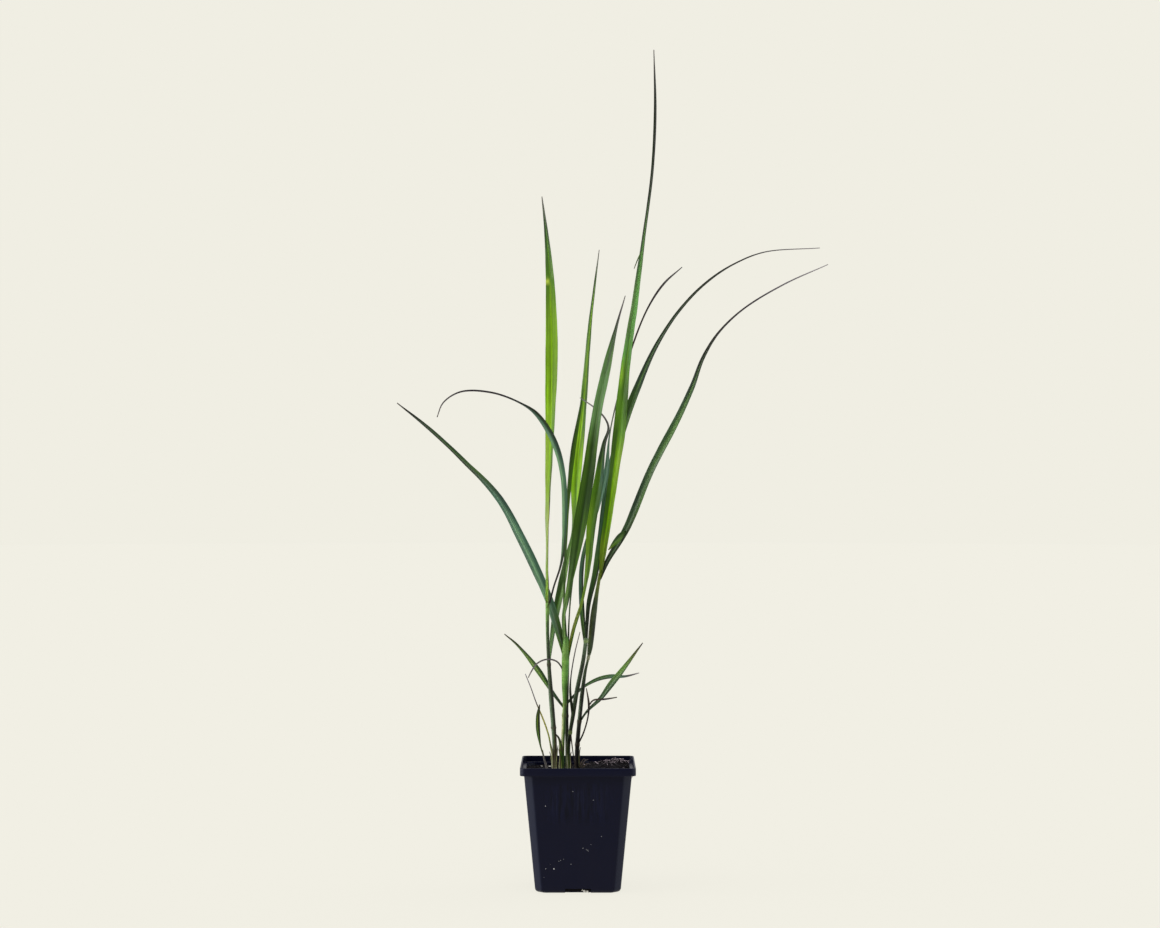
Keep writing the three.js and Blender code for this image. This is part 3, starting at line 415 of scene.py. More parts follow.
# Each stem: node, route, heights of its joints, colours, the joints' colour, and its leaves with theirs
GREEN = "green_leaf"
DRY = "dry_leaf"
TILLERS = [
    ("stem_left", LEFT_STEM, (126, 176), LEFT_STEM_COLOURS, BARK, [
        (LEFT_BRIGHT_LEAF, LEFT_BRIGHT_COLOURS, GREEN), (LEFT_ARCHING_LEAF, LEFT_ARCHING_COLOURS, GREEN),
        (LEFT_INNER_LEAF, LEFT_INNER_COLOURS, GREEN)]),
    ("stem_centre", CENTRE_STEM, (136, 144.5), CENTRE_STEM_COLOURS, DARK_OLIVE, [
        (CENTRE_BROAD_LEAF, CENTRE_BROAD_COLOURS, GREEN),
        (CENTRE_FAR_LEFT_LEAF, CENTRE_FAR_LEFT_COLOURS, GREEN),
        (CENTRE_OLIVE_LEAF, CENTRE_OLIVE_COLOURS, GREEN),
        (CENTRE_LOW_LEFT_LEAF, CENTRE_LOW_LEFT_COLOURS, GREEN),
        (CENTRE_LOW_RIGHT_LEAF, CENTRE_LOW_RIGHT_COLOURS, GREEN),
        (CENTRE_THIN_ARCH, THIN_ARCH_COLOURS, DRY)]),
    ("stem_back", BACK_STEM, (134,), BACK_STEM_COLOURS, SOOT, [
        (BACK_INNER_LEAF, BACK_INNER_COLOURS, GREEN), (BACK_YOUNG_LEAF, BACK_YOUNG_COLOURS, GREEN)]),
    ("stem_middle", MIDDLE_STEM, (122, 194), MIDDLE_STEM_COLOURS, PALE_SAGE, [
        (MIDDLE_LONG_LEAF, MIDDLE_LONG_COLOURS, GREEN), (MIDDLE_SLENDER_LEAF, MIDDLE_SLENDER_COLOURS, GREEN),
        (MIDDLE_SPEAR, SPEAR_COLOURS, GREEN), (MIDDLE_HANGING_SHRED, DRY_COLOURS, DRY)]),
    ("stem_right", RIGHT_STEM, (112, 130, 180), RIGHT_STEM_COLOURS, BARK, [
        (RIGHT_TALLEST_LEAF, RIGHT_TALLEST_COLOURS, GREEN),
        (RIGHT_ARCHING_LEAF, RIGHT_ARCHING_COLOURS, GREEN),
        (RIGHT_TORN_FLAP, TORN_FLAP_COLOURS, GREEN), (RIGHT_TORN_SLIVER, TORN_SLIVER_COLOURS, GREEN),
        (RIGHT_LOW_LEAF, RIGHT_LOW_COLOURS, GREEN),
        (RIGHT_DRIED_LEAF, DRY_COLOURS, DRY), (RIGHT_DRIED_SIDE_LEAF, DRY_COLOURS, DRY)]),
    ("shoot_left", SHOOT_STEM, (), SHOOT_STEM_COLOURS, BARK, [(SHOOT_LEAF, SHOOT_COLOURS, GREEN)]),
    ("shoot_thread", THREAD_STEM, (), THREAD_STEM_COLOURS, BARK, [(THREAD_LEAF, THREAD_COLOURS, DRY)]),
    ("stub_dried", STUB_STEM, (110,), STUB_COLOURS, BARK, []),
]


# Colour: an sRGB hex value as linear red, green, blue and alpha
def linear(hex_colour):
    parts = [int(hex_colour[i:i + 2], 16) / 255 for i in (1, 3, 5)]
    return (*[c / 12.92 if c <= 0.04045 else ((c + 0.055) / 1.055) ** 2.4 for c in parts], 1.0)


# Adds a node to a tree, with its settings, and its inputs in order or by name, as values or as links from
# sockets. It gives the output asked for, or all of them.
def add_node(tree, kind, *inputs, out=0, **settings):
    node = tree.nodes.new(kind)
    for name, value in settings.items():
        setattr(node, name, value)
    by_name = inputs and isinstance(inputs[0], dict)
    for key, value in (inputs[0] if by_name else dict(enumerate(inputs))).items():
        if isinstance(value, bpy.types.NodeSocket):
            tree.links.new(value, node.inputs[key])
        else:
            node.inputs[key].default_value = value
    return node.outputs if out is None or not node.outputs else node.outputs[out]


# The kinds of node that are used most, and the settings of a colour mix
MATH = "ShaderNodeMath"
RANGE = "ShaderNodeMapRange"
MIX = "ShaderNodeMix"
NOISE = "ShaderNodeTexNoise"
SPLIT = "ShaderNodeSeparateXYZ"
JOIN = "ShaderNodeCombineXYZ"
VECTOR_MATH = "ShaderNodeVectorMath"
STORED = "GeometryNodeInputNamedAttribute"
STORE = "GeometryNodeStoreNamedAttribute"
BLEND = {"out": 2, "data_type": "RGBA"}
DARKEN = {"out": 2, "data_type": "RGBA", "blend_type": "MULTIPLY"}


# A new material, and what adds nodes to it
def new_material(name):
    material = bpy.data.materials.new(name)
    material.use_nodes = True
    material.node_tree.nodes.clear()
    return material, partial(add_node, material.node_tree)


# Long streaks on a blade's own map, which runs in metres across and along it
def streaks(add, across_mm, per_metre, detail, roughness):
    place = add("ShaderNodeUVMap", uv_map="blade")
    stretched = add("ShaderNodeMapping", {"Vector": place, "Scale": (1 / (across_mm * MM), per_metre, 1)})
    inputs = {"Vector": stretched, "Scale": 1.0, "Detail": detail, "Roughness": roughness}
    return add(NOISE, inputs, out="Fac", noise_dimensions="2D")


# Noise in the piece's own space
def own_noise(add, scale, detail, roughness, stretch=(1, 1, 1)):
    place = add("ShaderNodeTexCoord", out="Object")
    stretched = add("ShaderNodeMapping", {"Vector": place, "Scale": stretch})
    inputs = {"Vector": stretched, "Scale": scale, "Detail": detail, "Roughness": roughness}
    return add(NOISE, inputs, out="Fac")


# The product of patterns, each stretched from one range to another: (pattern, from, from, to, to)
def product(add, *patterns):
    total = 1.0
    for pattern in patterns:
        total = add(MATH, total, add(RANGE, *pattern), operation="MULTIPLY")
    return total


# The colour that a piece carries along and across it, shaded by patterns
def shaded_tint(add, *patterns):
    tint = add("ShaderNodeAttribute", out="Color", attribute_name="tint")
    return add(MIX, {0: 1.0, 6: tint, 7: product(add, *patterns)}, **DARKEN)


# A skin whose relief is a pattern of the depth given
def skin(add, colour, roughness, relief, strength, depth_mm, ior, specular):
    bump = add("ShaderNodeBump", {"Strength": strength, "Distance": depth_mm * MM, "Height": relief})
    return add("ShaderNodeBsdfPrincipled", {
        "Base Color": colour, "Roughness": roughness, "IOR": ior, "Specular IOR Level": specular,
        "Normal": bump})


# Living grass leaf, grown: a satin waxy skin with parallel veins, a paler midrib and light that comes through
# the thin blade
def living_leaf():
    material, add = new_material("waxy_grass_leaf")
    veins = streaks(add, 0.62, 14, 3, 0.6)
    bands = streaks(add, 2.1, 7, 1, 0.5)
    blotches = streaks(add, 9, 90, 4, 0.55)
    across = add("ShaderNodeAttribute", out="Fac", attribute_name="across")
    from_middle = add(MATH, across, operation="ABSOLUTE")
    veined = shaded_tint(add, (veins, 0.32, 0.68, 0.7, 1.26), (bands, 0.3, 0.7, 0.82, 1.14),
                         (blotches, 0.3, 0.7, 0.93, 1.07), (from_middle, 0.02, 0.1, 1.3, 1.0))
    specks = add(RANGE, streaks(add, 1.3, 700, 2, 0.5), 0.7, 0.78, 0.0, 0.5)
    colour = add(MIX, {0: specks, 6: veined, 7: linear(DARK_OLIVE)}, **BLEND)
    gloss = add(RANGE, blotches, 0.3, 0.7, 0.44, 0.6)
    outer = skin(add, colour, gloss, veins, 0.4, 0.06, 1.42, 0.22)
    through = add(MIX, {0: 1.0, 6: colour, 7: LIGHT_THROUGH_LEAF}, **DARKEN)
    lit_through = add("ShaderNodeBsdfTranslucent", {"Color": through})
    both = add("ShaderNodeMixShader", SHARE_LIT_THROUGH, outer, lit_through)
    add("ShaderNodeOutputMaterial", {"Surface": both})
    return material


# Dead grass leaf, dried: a matt papery skin with fibrous streaks, tan to grey-brown, that no light comes
# through
def dead_leaf():
    material, add = new_material("dried_papery_leaf")
    fibres = streaks(add, 0.42, 70, 4, 0.65)
    colour = shaded_tint(add, (fibres, 0.3, 0.7, 0.6, 1.3))
    add("ShaderNodeOutputMaterial", {"Surface": skin(add, colour, 0.85, fibres, 0.5, 0.06, 1.45, 0.15)})
    return material


# Living grass stem, grown: a hard satin rind with fine lengthwise lines, mottled where old sheaths wear away
def living_stem():
    material, add = new_material("smooth_grass_culm")
    lines = streaks(add, 0.36, 44, 3, 0.6)
    mottle = streaks(add, 1.4, 160, 3, 0.6)
    colour = shaded_tint(add, (lines, 0.3, 0.7, 0.7, 1.26), (mottle, 0.35, 0.65, 0.8, 1.14))
    add("ShaderNodeOutputMaterial", {"Surface": skin(add, colour, 0.5, lines, 0.35, 0.05, 1.45, 0.22)})
    return material


# Black recycled polypropylene, injection moulded: a navy-black satin skin with a fine grain, upright streaks
# in the fluted part of each face that are partly flow marks and partly painted shade and light of the flutes,
# a thin film of purplish dust, and chamfers painted paler as a painted sheen of side light
def moulded_plastic():
    material, add = new_material("moulded_black_polypropylene")
    film = own_noise(add, 38, 6, 0.62)
    dusty = add(RANGE, film, 0.42, 0.8, 0.0, 0.3)
    colour = add(MIX, {0: dusty, 6: linear(NAVY_BLACK), 7: linear(DUST_FILM)}, **BLEND)
    place = add("ShaderNodeTexCoord", out=None)
    # Painted sheen: faces that slant between two sides, the chamfers, are painted paler as if lit
    facing = add(SPLIT, place["Normal"], out=None)
    slant = add(MATH, add(MATH, facing[0], facing[1], operation="MULTIPLY"), operation="ABSOLUTE")
    chamfer_sheen = add(RANGE, slant, 0.15, 0.45, 0.0, 0.7)
    colour = add(MIX, {0: chamfer_sheen, 6: colour, 7: linear(PAINTED_CHAMFER_SHEEN)}, **BLEND)
    x, y, z = add(SPLIT, place["Object"], out=None)
    sides = [add(MATH, side, operation="ABSOLUTE") for side in (x, y)]
    from_face_middle = add(MATH, *sides, operation="MINIMUM")
    zone = product(add, (z, 52 * MM, 62 * MM, 0.0, 1.0), (z, 83 * MM, 88 * MM, 1.0, 0.0),
                   (from_face_middle, 19 * MM, 27 * MM, 1.0, 0.0))
    # Upright streaks in the fluted zone, darker and lighter: partly flow marks, partly painted shade and
    # light of the flutes
    flow_and_flute_streaks = add(RANGE, own_noise(add, 1.0, 2, 0.6, (400, 400, 18)), 0.42, 0.6, 0.25, -0.4)
    flow_marks_and_flute_shade = add(MATH, flow_and_flute_streaks, zone, 1.0, operation="MULTIPLY_ADD")
    colour = add(MIX, {0: 1.0, 6: colour, 7: flow_marks_and_flute_shade}, **DARKEN)
    gloss = add(RANGE, film, 0.3, 0.7, 0.36, 0.5)
    surface = skin(add, colour, gloss, own_noise(add, 2600, 2, 0.5), 0.12, 0.05, 1.49, 0.13)
    add("ShaderNodeOutputMaterial", {"Surface": surface})
    return material


# Anything earthy or foamed: a matt, crumbly skin between two tones, its lumps of the size given
def earthy(name, dark, light, size_mm):
    material, add = new_material(name)
    clods = own_noise(add, 1 / (size_mm * MM), 5, 0.7)
    share = add(RANGE, clods, 0.35, 0.68, 0.0, 1.0)
    colour = add(MIX, {0: share, 6: linear(dark), 7: linear(light)}, **BLEND)
    add("ShaderNodeOutputMaterial", {"Surface": skin(add, colour, 0.95, clods, 0.6, 0.2, 1.45, 0.12)})
    return material


LEAF_SKIN = living_leaf()
DEAD_SKIN = dead_leaf()
STEM_SKIN = living_stem()
PLASTIC = moulded_plastic()
# Moist peat, dug and milled: a near-black brown mass, its crumbs and torn fibres a little paler
PEAT = earthy("milled_moist_peat", "#060508", "#120E12", 1.6)
CRUMB = earthy("peat_crumb", "#08070A", "#191418", 2.5)
FIBRE = earthy("peat_fibre", "#2A2428", "#C6B6BE", 2.2)
# Expanded perlite: a white, dull, foamed grain
PERLITE = earthy("expanded_perlite", "#B8B4AE", "#F2F0EC", 0.8)
# Dust of dried potting mix: pale grey specks
DUST = earthy("dried_potting_dust", "#8A8C90", "#C4C4C4", 0.6)


# Curves: a smooth run through points, the same one that the solids follow
def smooth_run(rows, per_span):
    points = np.array(rows, float)
    padded = np.vstack([2 * points[0] - points[1], points, 2 * points[-1] - points[-2]])
    out = []
    for i in range(len(points) - 1):
        p0, p1, p2, p3 = padded[i:i + 4]
        gaps = [max(np.sum((b[:3] - a[:3]) ** 2) ** 0.25, 1e-4) for a, b in ((p0, p1), (p1, p2), (p2, p3))]
        lean_in = (p1 - p0) / gaps[0] - (p2 - p0) / (gaps[0] + gaps[1]) + (p2 - p1) / gaps[1]
        lean_out = (p2 - p1) / gaps[1] - (p3 - p1) / (gaps[1] + gaps[2]) + (p3 - p2) / gaps[2]
        place_tangents = lean_in * gaps[1], lean_out * gaps[1]
        form_tangents = 0.5 * (p2 - p0), 0.5 * (p3 - p1)
        last_span = i == len(points) - 2
        shares = np.linspace(0, 1, per_span[i] + 1)[:None if last_span else -1]
        for t in shares:
            row = np.empty(points.shape[1])
            for columns, (t0, t1) in ((slice(0, 3), place_tangents), (slice(3, None), form_tangents)):
                a, b = p1[columns], p2[columns]
                t0, t1 = t0[columns], t1[columns]
                row[columns] = (a + t0 * t + (-3 * a + 3 * b - 2 * t0 - t1) * t ** 2
                                + (2 * a - 2 * b + t0 + t1) * t ** 3)
            out.append(row)
    return np.array(out)


# A smooth run with stations at the spacing given: its rows, points, directions and distances from its start
def measured_run(rows, spacing):
    spans = np.linalg.norm(np.diff(np.array(rows, float)[:, :3], axis=0), axis=1)
    run = smooth_run(rows, [max(2, int(math.ceil(span / spacing))) for span in spans])
    points = run[:, :3]
    heading = np.gradient(points, axis=0)
    heading /= np.linalg.norm(heading, axis=1, keepdims=True)
    steps = np.linalg.norm(np.diff(points, axis=0), axis=1)
    return run, points, heading, np.concatenate([[0], np.cumsum(steps)])


# The way a leaf's upper face points, for each direction of its run and turn from square to the viewer
def face_directions(heading, degrees):
    side = np.cross(heading, (0, -1, 0))
    side /= np.linalg.norm(side, axis=1, keepdims=True)
    face = np.cross(side, heading)
    turn = np.radians(degrees)[:, None]
    return face * np.cos(turn) - side * np.sin(turn)


# A mesh of bare lines, one for each run, with values on its points for the node trees to read
def line_mesh(name, runs):
    mesh = bpy.data.meshes.new(name)
    points = np.vstack([run["points"] for run in runs]) * MM
    edges = []
    start = 0
    for run in runs:
        count = len(run["points"])
        edges += [(start + i, start + i + 1) for i in range(count - 1)]
        start += count
    mesh.from_pydata(points.tolist(), edges, [])
    for key in runs[0]:
        if key == "points":
            continue
        values = np.concatenate([run[key] for run in runs]).astype(np.float32)
        vector = values.ndim == 2
        layer = mesh.attributes.new(key, "FLOAT_VECTOR" if vector else "FLOAT", "POINT")
        layer.data.foreach_set("vector" if vector else "value", values.ravel())
    return mesh


# A new node tree with named inputs, and what adds nodes to it
def new_tree(name, inputs):
    tree = bpy.data.node_groups.new(name, "GeometryNodeTree")
    tree.interface.new_socket("Geometry", in_out="OUTPUT", socket_type="NodeSocketGeometry")
    for label, kind in [("Geometry", "Geometry"), *inputs, ("Material", "Material")]:
        tree.interface.new_socket(label, in_out="INPUT", socket_type="NodeSocket" + kind)
    add = partial(add_node, tree)
    return tree, add, add("NodeGroupInput", out=None)


# Ends a tree: its geometry shaded smooth, made real and given its material
def end_tree(tree, add, geometry, material):
    smooth = add("GeometryNodeSetShadeSmooth", geometry)
    real = add("GeometryNodeRealizeInstances", smooth)
    dressed = add("GeometryNodeSetMaterial", {"Geometry": real, "Material": material})
    add("NodeGroupOutput", dressed)
    return tree


# The line of each leaf or stem as a curve, its sections turned to the "face" on its points
def faced_curve(add, geometry):
    line = add("GeometryNodeMeshToCurve", geometry)
    face = add(STORED, "face", data_type="FLOAT_VECTOR")
    return add("GeometryNodeSetCurveNormal", {"Curve": line, "Normal": face}, mode="FREE")


# A bell over distances counted in its spread, 1 at its middle and next to nothing far out
def bell(add, share, steepness):
    squared = add(MATH, share, share, operation="MULTIPLY")
    return add(MATH, add(MATH, squared, steepness, operation="MULTIPLY"), operation="EXPONENT")


# Each swept leaf or stem's own map, in metres across and along it, for its streaks
def mapped(add, geometry, across, along):
    inputs = {"Geometry": geometry, "Name": "blade", "Value": add(JOIN, across, along)}
    return add(STORE, inputs, data_type="FLOAT2", domain="CORNER")


# Leaf blades: each line becomes a folded ribbon with raised veins, a keel under the midrib and rippled edges
def leaf_tree():
    tree, add, given = new_tree("leaf_blades", [
        ("Columns", "Int"), ("Fold", "Float"), ("Vein pitch", "Float"), ("Vein height", "Float"),
        ("Keel", "Float"), ("Ripple", "Float"), ("Ripple length", "Float"), ("Seed", "Float")])
    layers = "half_width", "distance", "across", "leaf_number"
    half, distance, across, number = (add(STORED, layer) for layer in layers)
    line = add("GeometryNodeCurvePrimitiveLine", {"Start": (0, -1, 0), "End": (0, 1, 0)})
    columns = add("GeometryNodeResampleCurve", {"Curve": line, "Count": given["Columns"]})
    sideways = add(SPLIT, add("GeometryNodeInputPosition"), out="Y")
    marked = add(STORE, {"Geometry": columns, "Name": "across", "Value": sideways})
    squared = add(MATH, sideways, sideways, FOLD_SOFTNESS, operation="MULTIPLY_ADD")
    bent = add(MATH, add(MATH, squared, operation="SQRT"), 2, -1, operation="MULTIPLY_ADD")
    folded = add(JOIN, add(MATH, bent, given["Fold"], operation="MULTIPLY"))
    section = add("GeometryNodeSetPosition", {"Geometry": marked, "Offset": folded})
    curve = faced_curve(add, given["Geometry"])
    ribbon = add("GeometryNodeCurveToMesh", {"Curve": curve, "Profile Curve": section, "Scale": half})
    reach = add(MATH, across, half, operation="MULTIPLY")
    drawn_out = mapped(add, ribbon, reach, distance)
    pitches = add(MATH, reach, given["Vein pitch"], operation="DIVIDE")
    wave = add(MATH, add(MATH, pitches, 2 * math.pi, operation="MULTIPLY"), operation="COSINE")
    veins = add(MATH, wave, given["Vein height"], operation="MULTIPLY")
    near = add(MATH, reach, KEEL_SPREAD * MM, operation="DIVIDE")
    keel = add(MATH, bell(add, near, -1), given["Keel"], operation="MULTIPLY")
    relief = add(MATH, veins, keel, operation="SUBTRACT")
    pace = add(MATH, distance, given["Ripple length"], operation="DIVIDE")
    own = add(MATH, number, 7.3, given["Seed"], operation="MULTIPLY_ADD")
    seat = add(JOIN, pace, own, add(MATH, across, operation="SIGN"))
    drift = add(NOISE, {"Vector": seat, "Scale": 1.0, "Detail": 1}, out="Fac")
    margin = add(MATH, add(MATH, across, across, operation="MULTIPLY"), 1.5, operation="POWER")
    ripple = add(MATH, add(MATH, margin, half, operation="MULTIPLY"), given["Ripple"], operation="MULTIPLY")
    swing = add(MATH, drift, 0.5, operation="SUBTRACT")
    height = add(MATH, ripple, swing, relief, operation="MULTIPLY_ADD")
    face = add(STORED, "face", data_type="FLOAT_VECTOR")
    shift = add(VECTOR_MATH, {0: face, "Scale": height}, operation="SCALE")
    formed = add("GeometryNodeSetPosition", {"Geometry": drawn_out, "Offset": shift})
    return end_tree(tree, add, formed, given["Material"])


# Stems: each line becomes a round rod of the radius on its points, with fine lengthwise lines
def stem_tree():
    tree, add, given = new_tree("jointed_stems", [
        ("Sides", "Int"), ("Lines", "Int"), ("Line height", "Float")])
    radius = add(STORED, "radius")
    circle = add("GeometryNodeCurvePrimitiveCircle", {"Resolution": given["Sides"], "Radius": 1.0})
    part = add("GeometryNodeSplineParameter", out="Factor")
    marked = add(STORE, {"Geometry": circle, "Name": "around", "Value": part})
    rod = add("GeometryNodeCurveToMesh", {
        "Curve": faced_curve(add, given["Geometry"]), "Profile Curve": marked, "Scale": radius,
        "Fill Caps": True})
    girth = add(MATH, add(STORED, "around"), 2 * math.pi, operation="MULTIPLY")
    drawn_out = mapped(add, rod, add(MATH, girth, radius, operation="MULTIPLY"), add(STORED, "distance"))
    wave = add(MATH, add(MATH, girth, given["Lines"], operation="MULTIPLY"), operation="COSINE")
    height = add(MATH, wave, given["Line height"], operation="MULTIPLY")
    shift = add(VECTOR_MATH, {0: add("GeometryNodeInputNormal"), "Scale": height}, operation="SCALE")
    formed = add("GeometryNodeSetPosition", {"Geometry": drawn_out, "Offset": shift})
    return end_tree(tree, add, formed, given["Material"])


# The inputs that the trees of strewn things share
STREWN_INPUTS = [
    ("Density", "Float"), ("Centre", "Vector"), ("Spread", "Float"), ("Everywhere", "Float"), ("Seed", "Int")]


# Points over the upward faces of a surface, dense near a centre and thinning out to a share elsewhere
def strewn_points(add, given):
    up = add(SPLIT, add("GeometryNodeInputNormal"), out="Z")
    upward = add("FunctionNodeCompare", up, 0.5, data_type="FLOAT", operation="GREATER_THAN")
    place = add("GeometryNodeInputPosition")
    away = add(VECTOR_MATH, place, given["Centre"], out="Value", operation="DISTANCE")
    share = add(MATH, away, given["Spread"], operation="DIVIDE")
    thick = add(MATH, bell(add, share, -0.5), given["Everywhere"], operation="ADD")
    thick = add(MATH, thick, 1.0, operation="MINIMUM")
    return add("GeometryNodeDistributePointsOnFaces", {
        "Mesh": given["Geometry"], "Selection": upward,
        "Density": add(MATH, thick, given["Density"], operation="MULTIPLY"), "Seed": given["Seed"]})


# Balls of random turn on points, pushed out of round by noise
def rough_grains(add, points, rounds, turns, scale, seed, lump_mm, amount):
    ball = add("GeometryNodeMeshIcoSphere", {"Radius": 1.0, "Subdivisions": rounds})
    turn = add("FunctionNodeRandomValue", {0: turns[0], 1: turns[1], "Seed": seed}, data_type="FLOAT_VECTOR")
    grains = add("GeometryNodeInstanceOnPoints", {
        "Points": points, "Instance": ball, "Rotation": turn, "Scale": scale})
    real = add("GeometryNodeRealizeInstances", grains)
    lumps = add(NOISE, {"Scale": 1 / (lump_mm * MM), "Detail": 2}, out="Color")
    centred = add(VECTOR_MATH, lumps, (0.5, 0.5, 0.5), operation="SUBTRACT")
    shift = add(VECTOR_MATH, {0: centred, "Scale": amount}, operation="SCALE")
    return add("GeometryNodeSetPosition", {"Geometry": real, "Offset": shift})


# Grains strewn over a surface, mostly small
def grain_tree():
    tree, add, given = new_tree("scattered_grains", STREWN_INPUTS + [
        ("Smallest", "Float"), ("Largest", "Float"), ("Flatness", "Float"), ("Rounds", "Int")])
    draw = add("FunctionNodeRandomValue", {2: 0.0, 3: 1.0, "Seed": given["Seed"]}, out=1, data_type="FLOAT")
    mostly_small = add(MATH, draw, 2.2, operation="POWER")
    span = add(MATH, given["Largest"], given["Smallest"], operation="SUBTRACT")
    size = add(MATH, mostly_small, span, given["Smallest"], operation="MULTIPLY_ADD")
    scale = add(VECTOR_MATH, {0: add(JOIN, 1.0, 0.75, given["Flatness"]), "Scale": size}, operation="SCALE")
    turns = (0, 0, 0), (FULL_TURN, FULL_TURN, FULL_TURN)
    points = strewn_points(add, given)
    grains = rough_grains(add, points, given["Rounds"], turns, scale, given["Seed"], 1.1, given["Largest"])
    return end_tree(tree, add, grains, given["Material"])


# Fibres strewn over the upward faces of a surface, each a thin bent strand
def fibre_tree():
    tree, add, given = new_tree("strewn_fibres", STREWN_INPUTS + [
        ("Shortest", "Float"), ("Longest", "Float"), ("Thickness", "Float"), ("Lean", "Float")])
    arc = add("GeometryNodeCurveQuadraticBezier", {
        "Resolution": 9, "Start": (-0.42, 0, -0.06), "Middle": (0.1, 0.7, 0.5), "End": (0.42, -0.15, -0.02)})
    ring = add("GeometryNodeCurvePrimitiveCircle", {"Resolution": 4, "Radius": given["Thickness"]})
    strand = add("GeometryNodeCurveToMesh", {
        "Curve": arc, "Profile Curve": ring, "Scale": 1.0, "Fill Caps": True})
    lean, seed = given["Lean"], given["Seed"]
    back_lean = add(MATH, lean, -1, operation="MULTIPLY")
    low, high = add(JOIN, back_lean, back_lean, 0.0), add(JOIN, lean, lean, FULL_TURN)
    turn = add("FunctionNodeRandomValue", {0: low, 1: high, "Seed": seed}, data_type="FLOAT_VECTOR")
    size = add("FunctionNodeRandomValue", {2: given["Shortest"], 3: given["Longest"], "Seed": seed},
               out=1, data_type="FLOAT")
    fibres = add("GeometryNodeInstanceOnPoints", {
        "Points": strewn_points(add, given), "Instance": strand, "Rotation": turn, "Scale": size})
    return end_tree(tree, add, fibres, given["Material"])


# Grains set one by one: each point of the mesh holds one, of its own size
def set_grain_tree():
    tree, add, given = new_tree("set_grains", [
        ("Flatness", "Float"), ("Roughness", "Float"), ("Seed", "Int")])
    form = add(JOIN, 1.0, given["Flatness"], 0.7)
    scale = add(VECTOR_MATH, {0: form, "Scale": add(STORED, "size")}, operation="SCALE")
    turns = (-0.3, -0.3, 0), (0.3, 0.3, FULL_TURN)
    grains = rough_grains(
        add, given["Geometry"], 2, turns, scale, given["Seed"], 0.7, given["Roughness"])
    return end_tree(tree, add, grains, given["Material"])


LEAF_TREE = leaf_tree()
STEM_TREE = stem_tree()
GRAIN_TREE = grain_tree()
FIBRE_TREE = fibre_tree()
SET_GRAIN_TREE = set_grain_tree()


# A thing in the scene from its mesh, lamp or camera
def put_in_scene(name, data):
    thing = bpy.data.objects.new(name, data)
    bpy.context.collection.objects.link(thing)
    return thing


# The plain mesh that a thing's modifiers make of it, in place of the thing
def made_plain(source, name):
    finished = bpy.data.meshes.new_from_object(source.evaluated_get(bpy.context.evaluated_depsgraph_get()))
    finished.name = name
    bpy.data.objects.remove(source)
    return finished


# Runs a mesh through a node tree, and through a wall of its own thickness if one is given, to a plain mesh
def grown(name, mesh, tree, settings, wall_mm=0):
    source = put_in_scene(name + "_lines", mesh)
    modifier = source.modifiers.new("grow", "NODES")
    modifier.node_group = tree
    sockets = {item.name: item.identifier for item in tree.interface.items_tree if item.in_out == "INPUT"}
    for label, value in settings.items():
        modifier[sockets[label]] = value
    if wall_mm:
        wall = source.modifiers.new("wall", "SOLIDIFY")
        wall.thickness = wall_mm * MM
        wall.offset = 0
    return made_plain(source, name)


# A finished mesh as a piece of the part, hiding the solid that it stands in for
def add_piece(name, mesh, node=None):
    piece = put_in_scene(name, mesh)
    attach(piece, "root")
    if node:
        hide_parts(node)
    return piece


# The values that a mesh carries on its points
def read_layer(mesh, name):
    values = np.empty(len(mesh.vertices), np.float32)
    mesh.attributes[name].data.foreach_get("value", values)
    return values


# A piece's own colours, on its points
def write_tint(mesh, colours):
    layer = mesh.attributes.new("tint", "FLOAT_COLOR", "POINT")
    layer.data.foreach_set("color", colours.astype(np.float32).ravel())


# Colours between the given stops, from their column for the left edge, the middle or the right edge
def blend_stops(shares, stops, column):
    places = [stop[0] for stop in stops]
    colours = np.array([linear(stop[min(column, len(stop) - 1)]) for stop in stops])
    return np.stack([np.interp(shares, places, colours[:, i]) for i in range(4)], axis=1)


# The tint where "across" runs from -1 at the left edge to 1 at the right one. The edges' colours carry
# painted light and painted shade on the two halves as well as the piece's own colour
def tint_across(along, across, stops):
    left, middle, right = (blend_stops(along, stops, column) for column in (1, 2, 3))
    edge = np.where(across[:, None] < 0, left, right)
    edge_share = np.clip((np.abs(across) - MIDDLE_BAND) / EDGE_BLEND, 0, 1)[:, None]
    return middle + (edge - middle) * edge_share


# One leaf's line, with what its blade and its colours need
def leaf_run(rows, number):
    run, points, heading, distance = measured_run(rows, LEAF_STATION)
    return {
        "points": points,
        "face": face_directions(heading, run[:, 4]),
        "half_width": np.maximum(run[:, 3], NARROWEST) / 2 * MM,
        "distance": distance * MM,
        "along": distance / distance[-1],
        "leaf_number": np.full(len(points), float(number)),
    }


# Leaves of one finish as one piece, each with its own colours
def leaves(name, group, material, node):
    runs = [leaf_run(rows, number) for number, (rows, _) in enumerate(group)]
    settings = LEAF_FORM | {"Material": material}
    mesh = grown(name, line_mesh(name, runs), LEAF_TREE, settings, LEAF_THICKNESS)
    along, across, number = (read_layer(mesh, key) for key in ("along", "across", "leaf_number"))
    colours = np.zeros((len(mesh.vertices), 4))
    for i, (_, stops) in enumerate(group):
        own = np.round(number) == i
        colours[own] = tint_across(along[own], across[own], stops)
    write_tint(mesh, colours)
    add_piece(name, mesh, node)


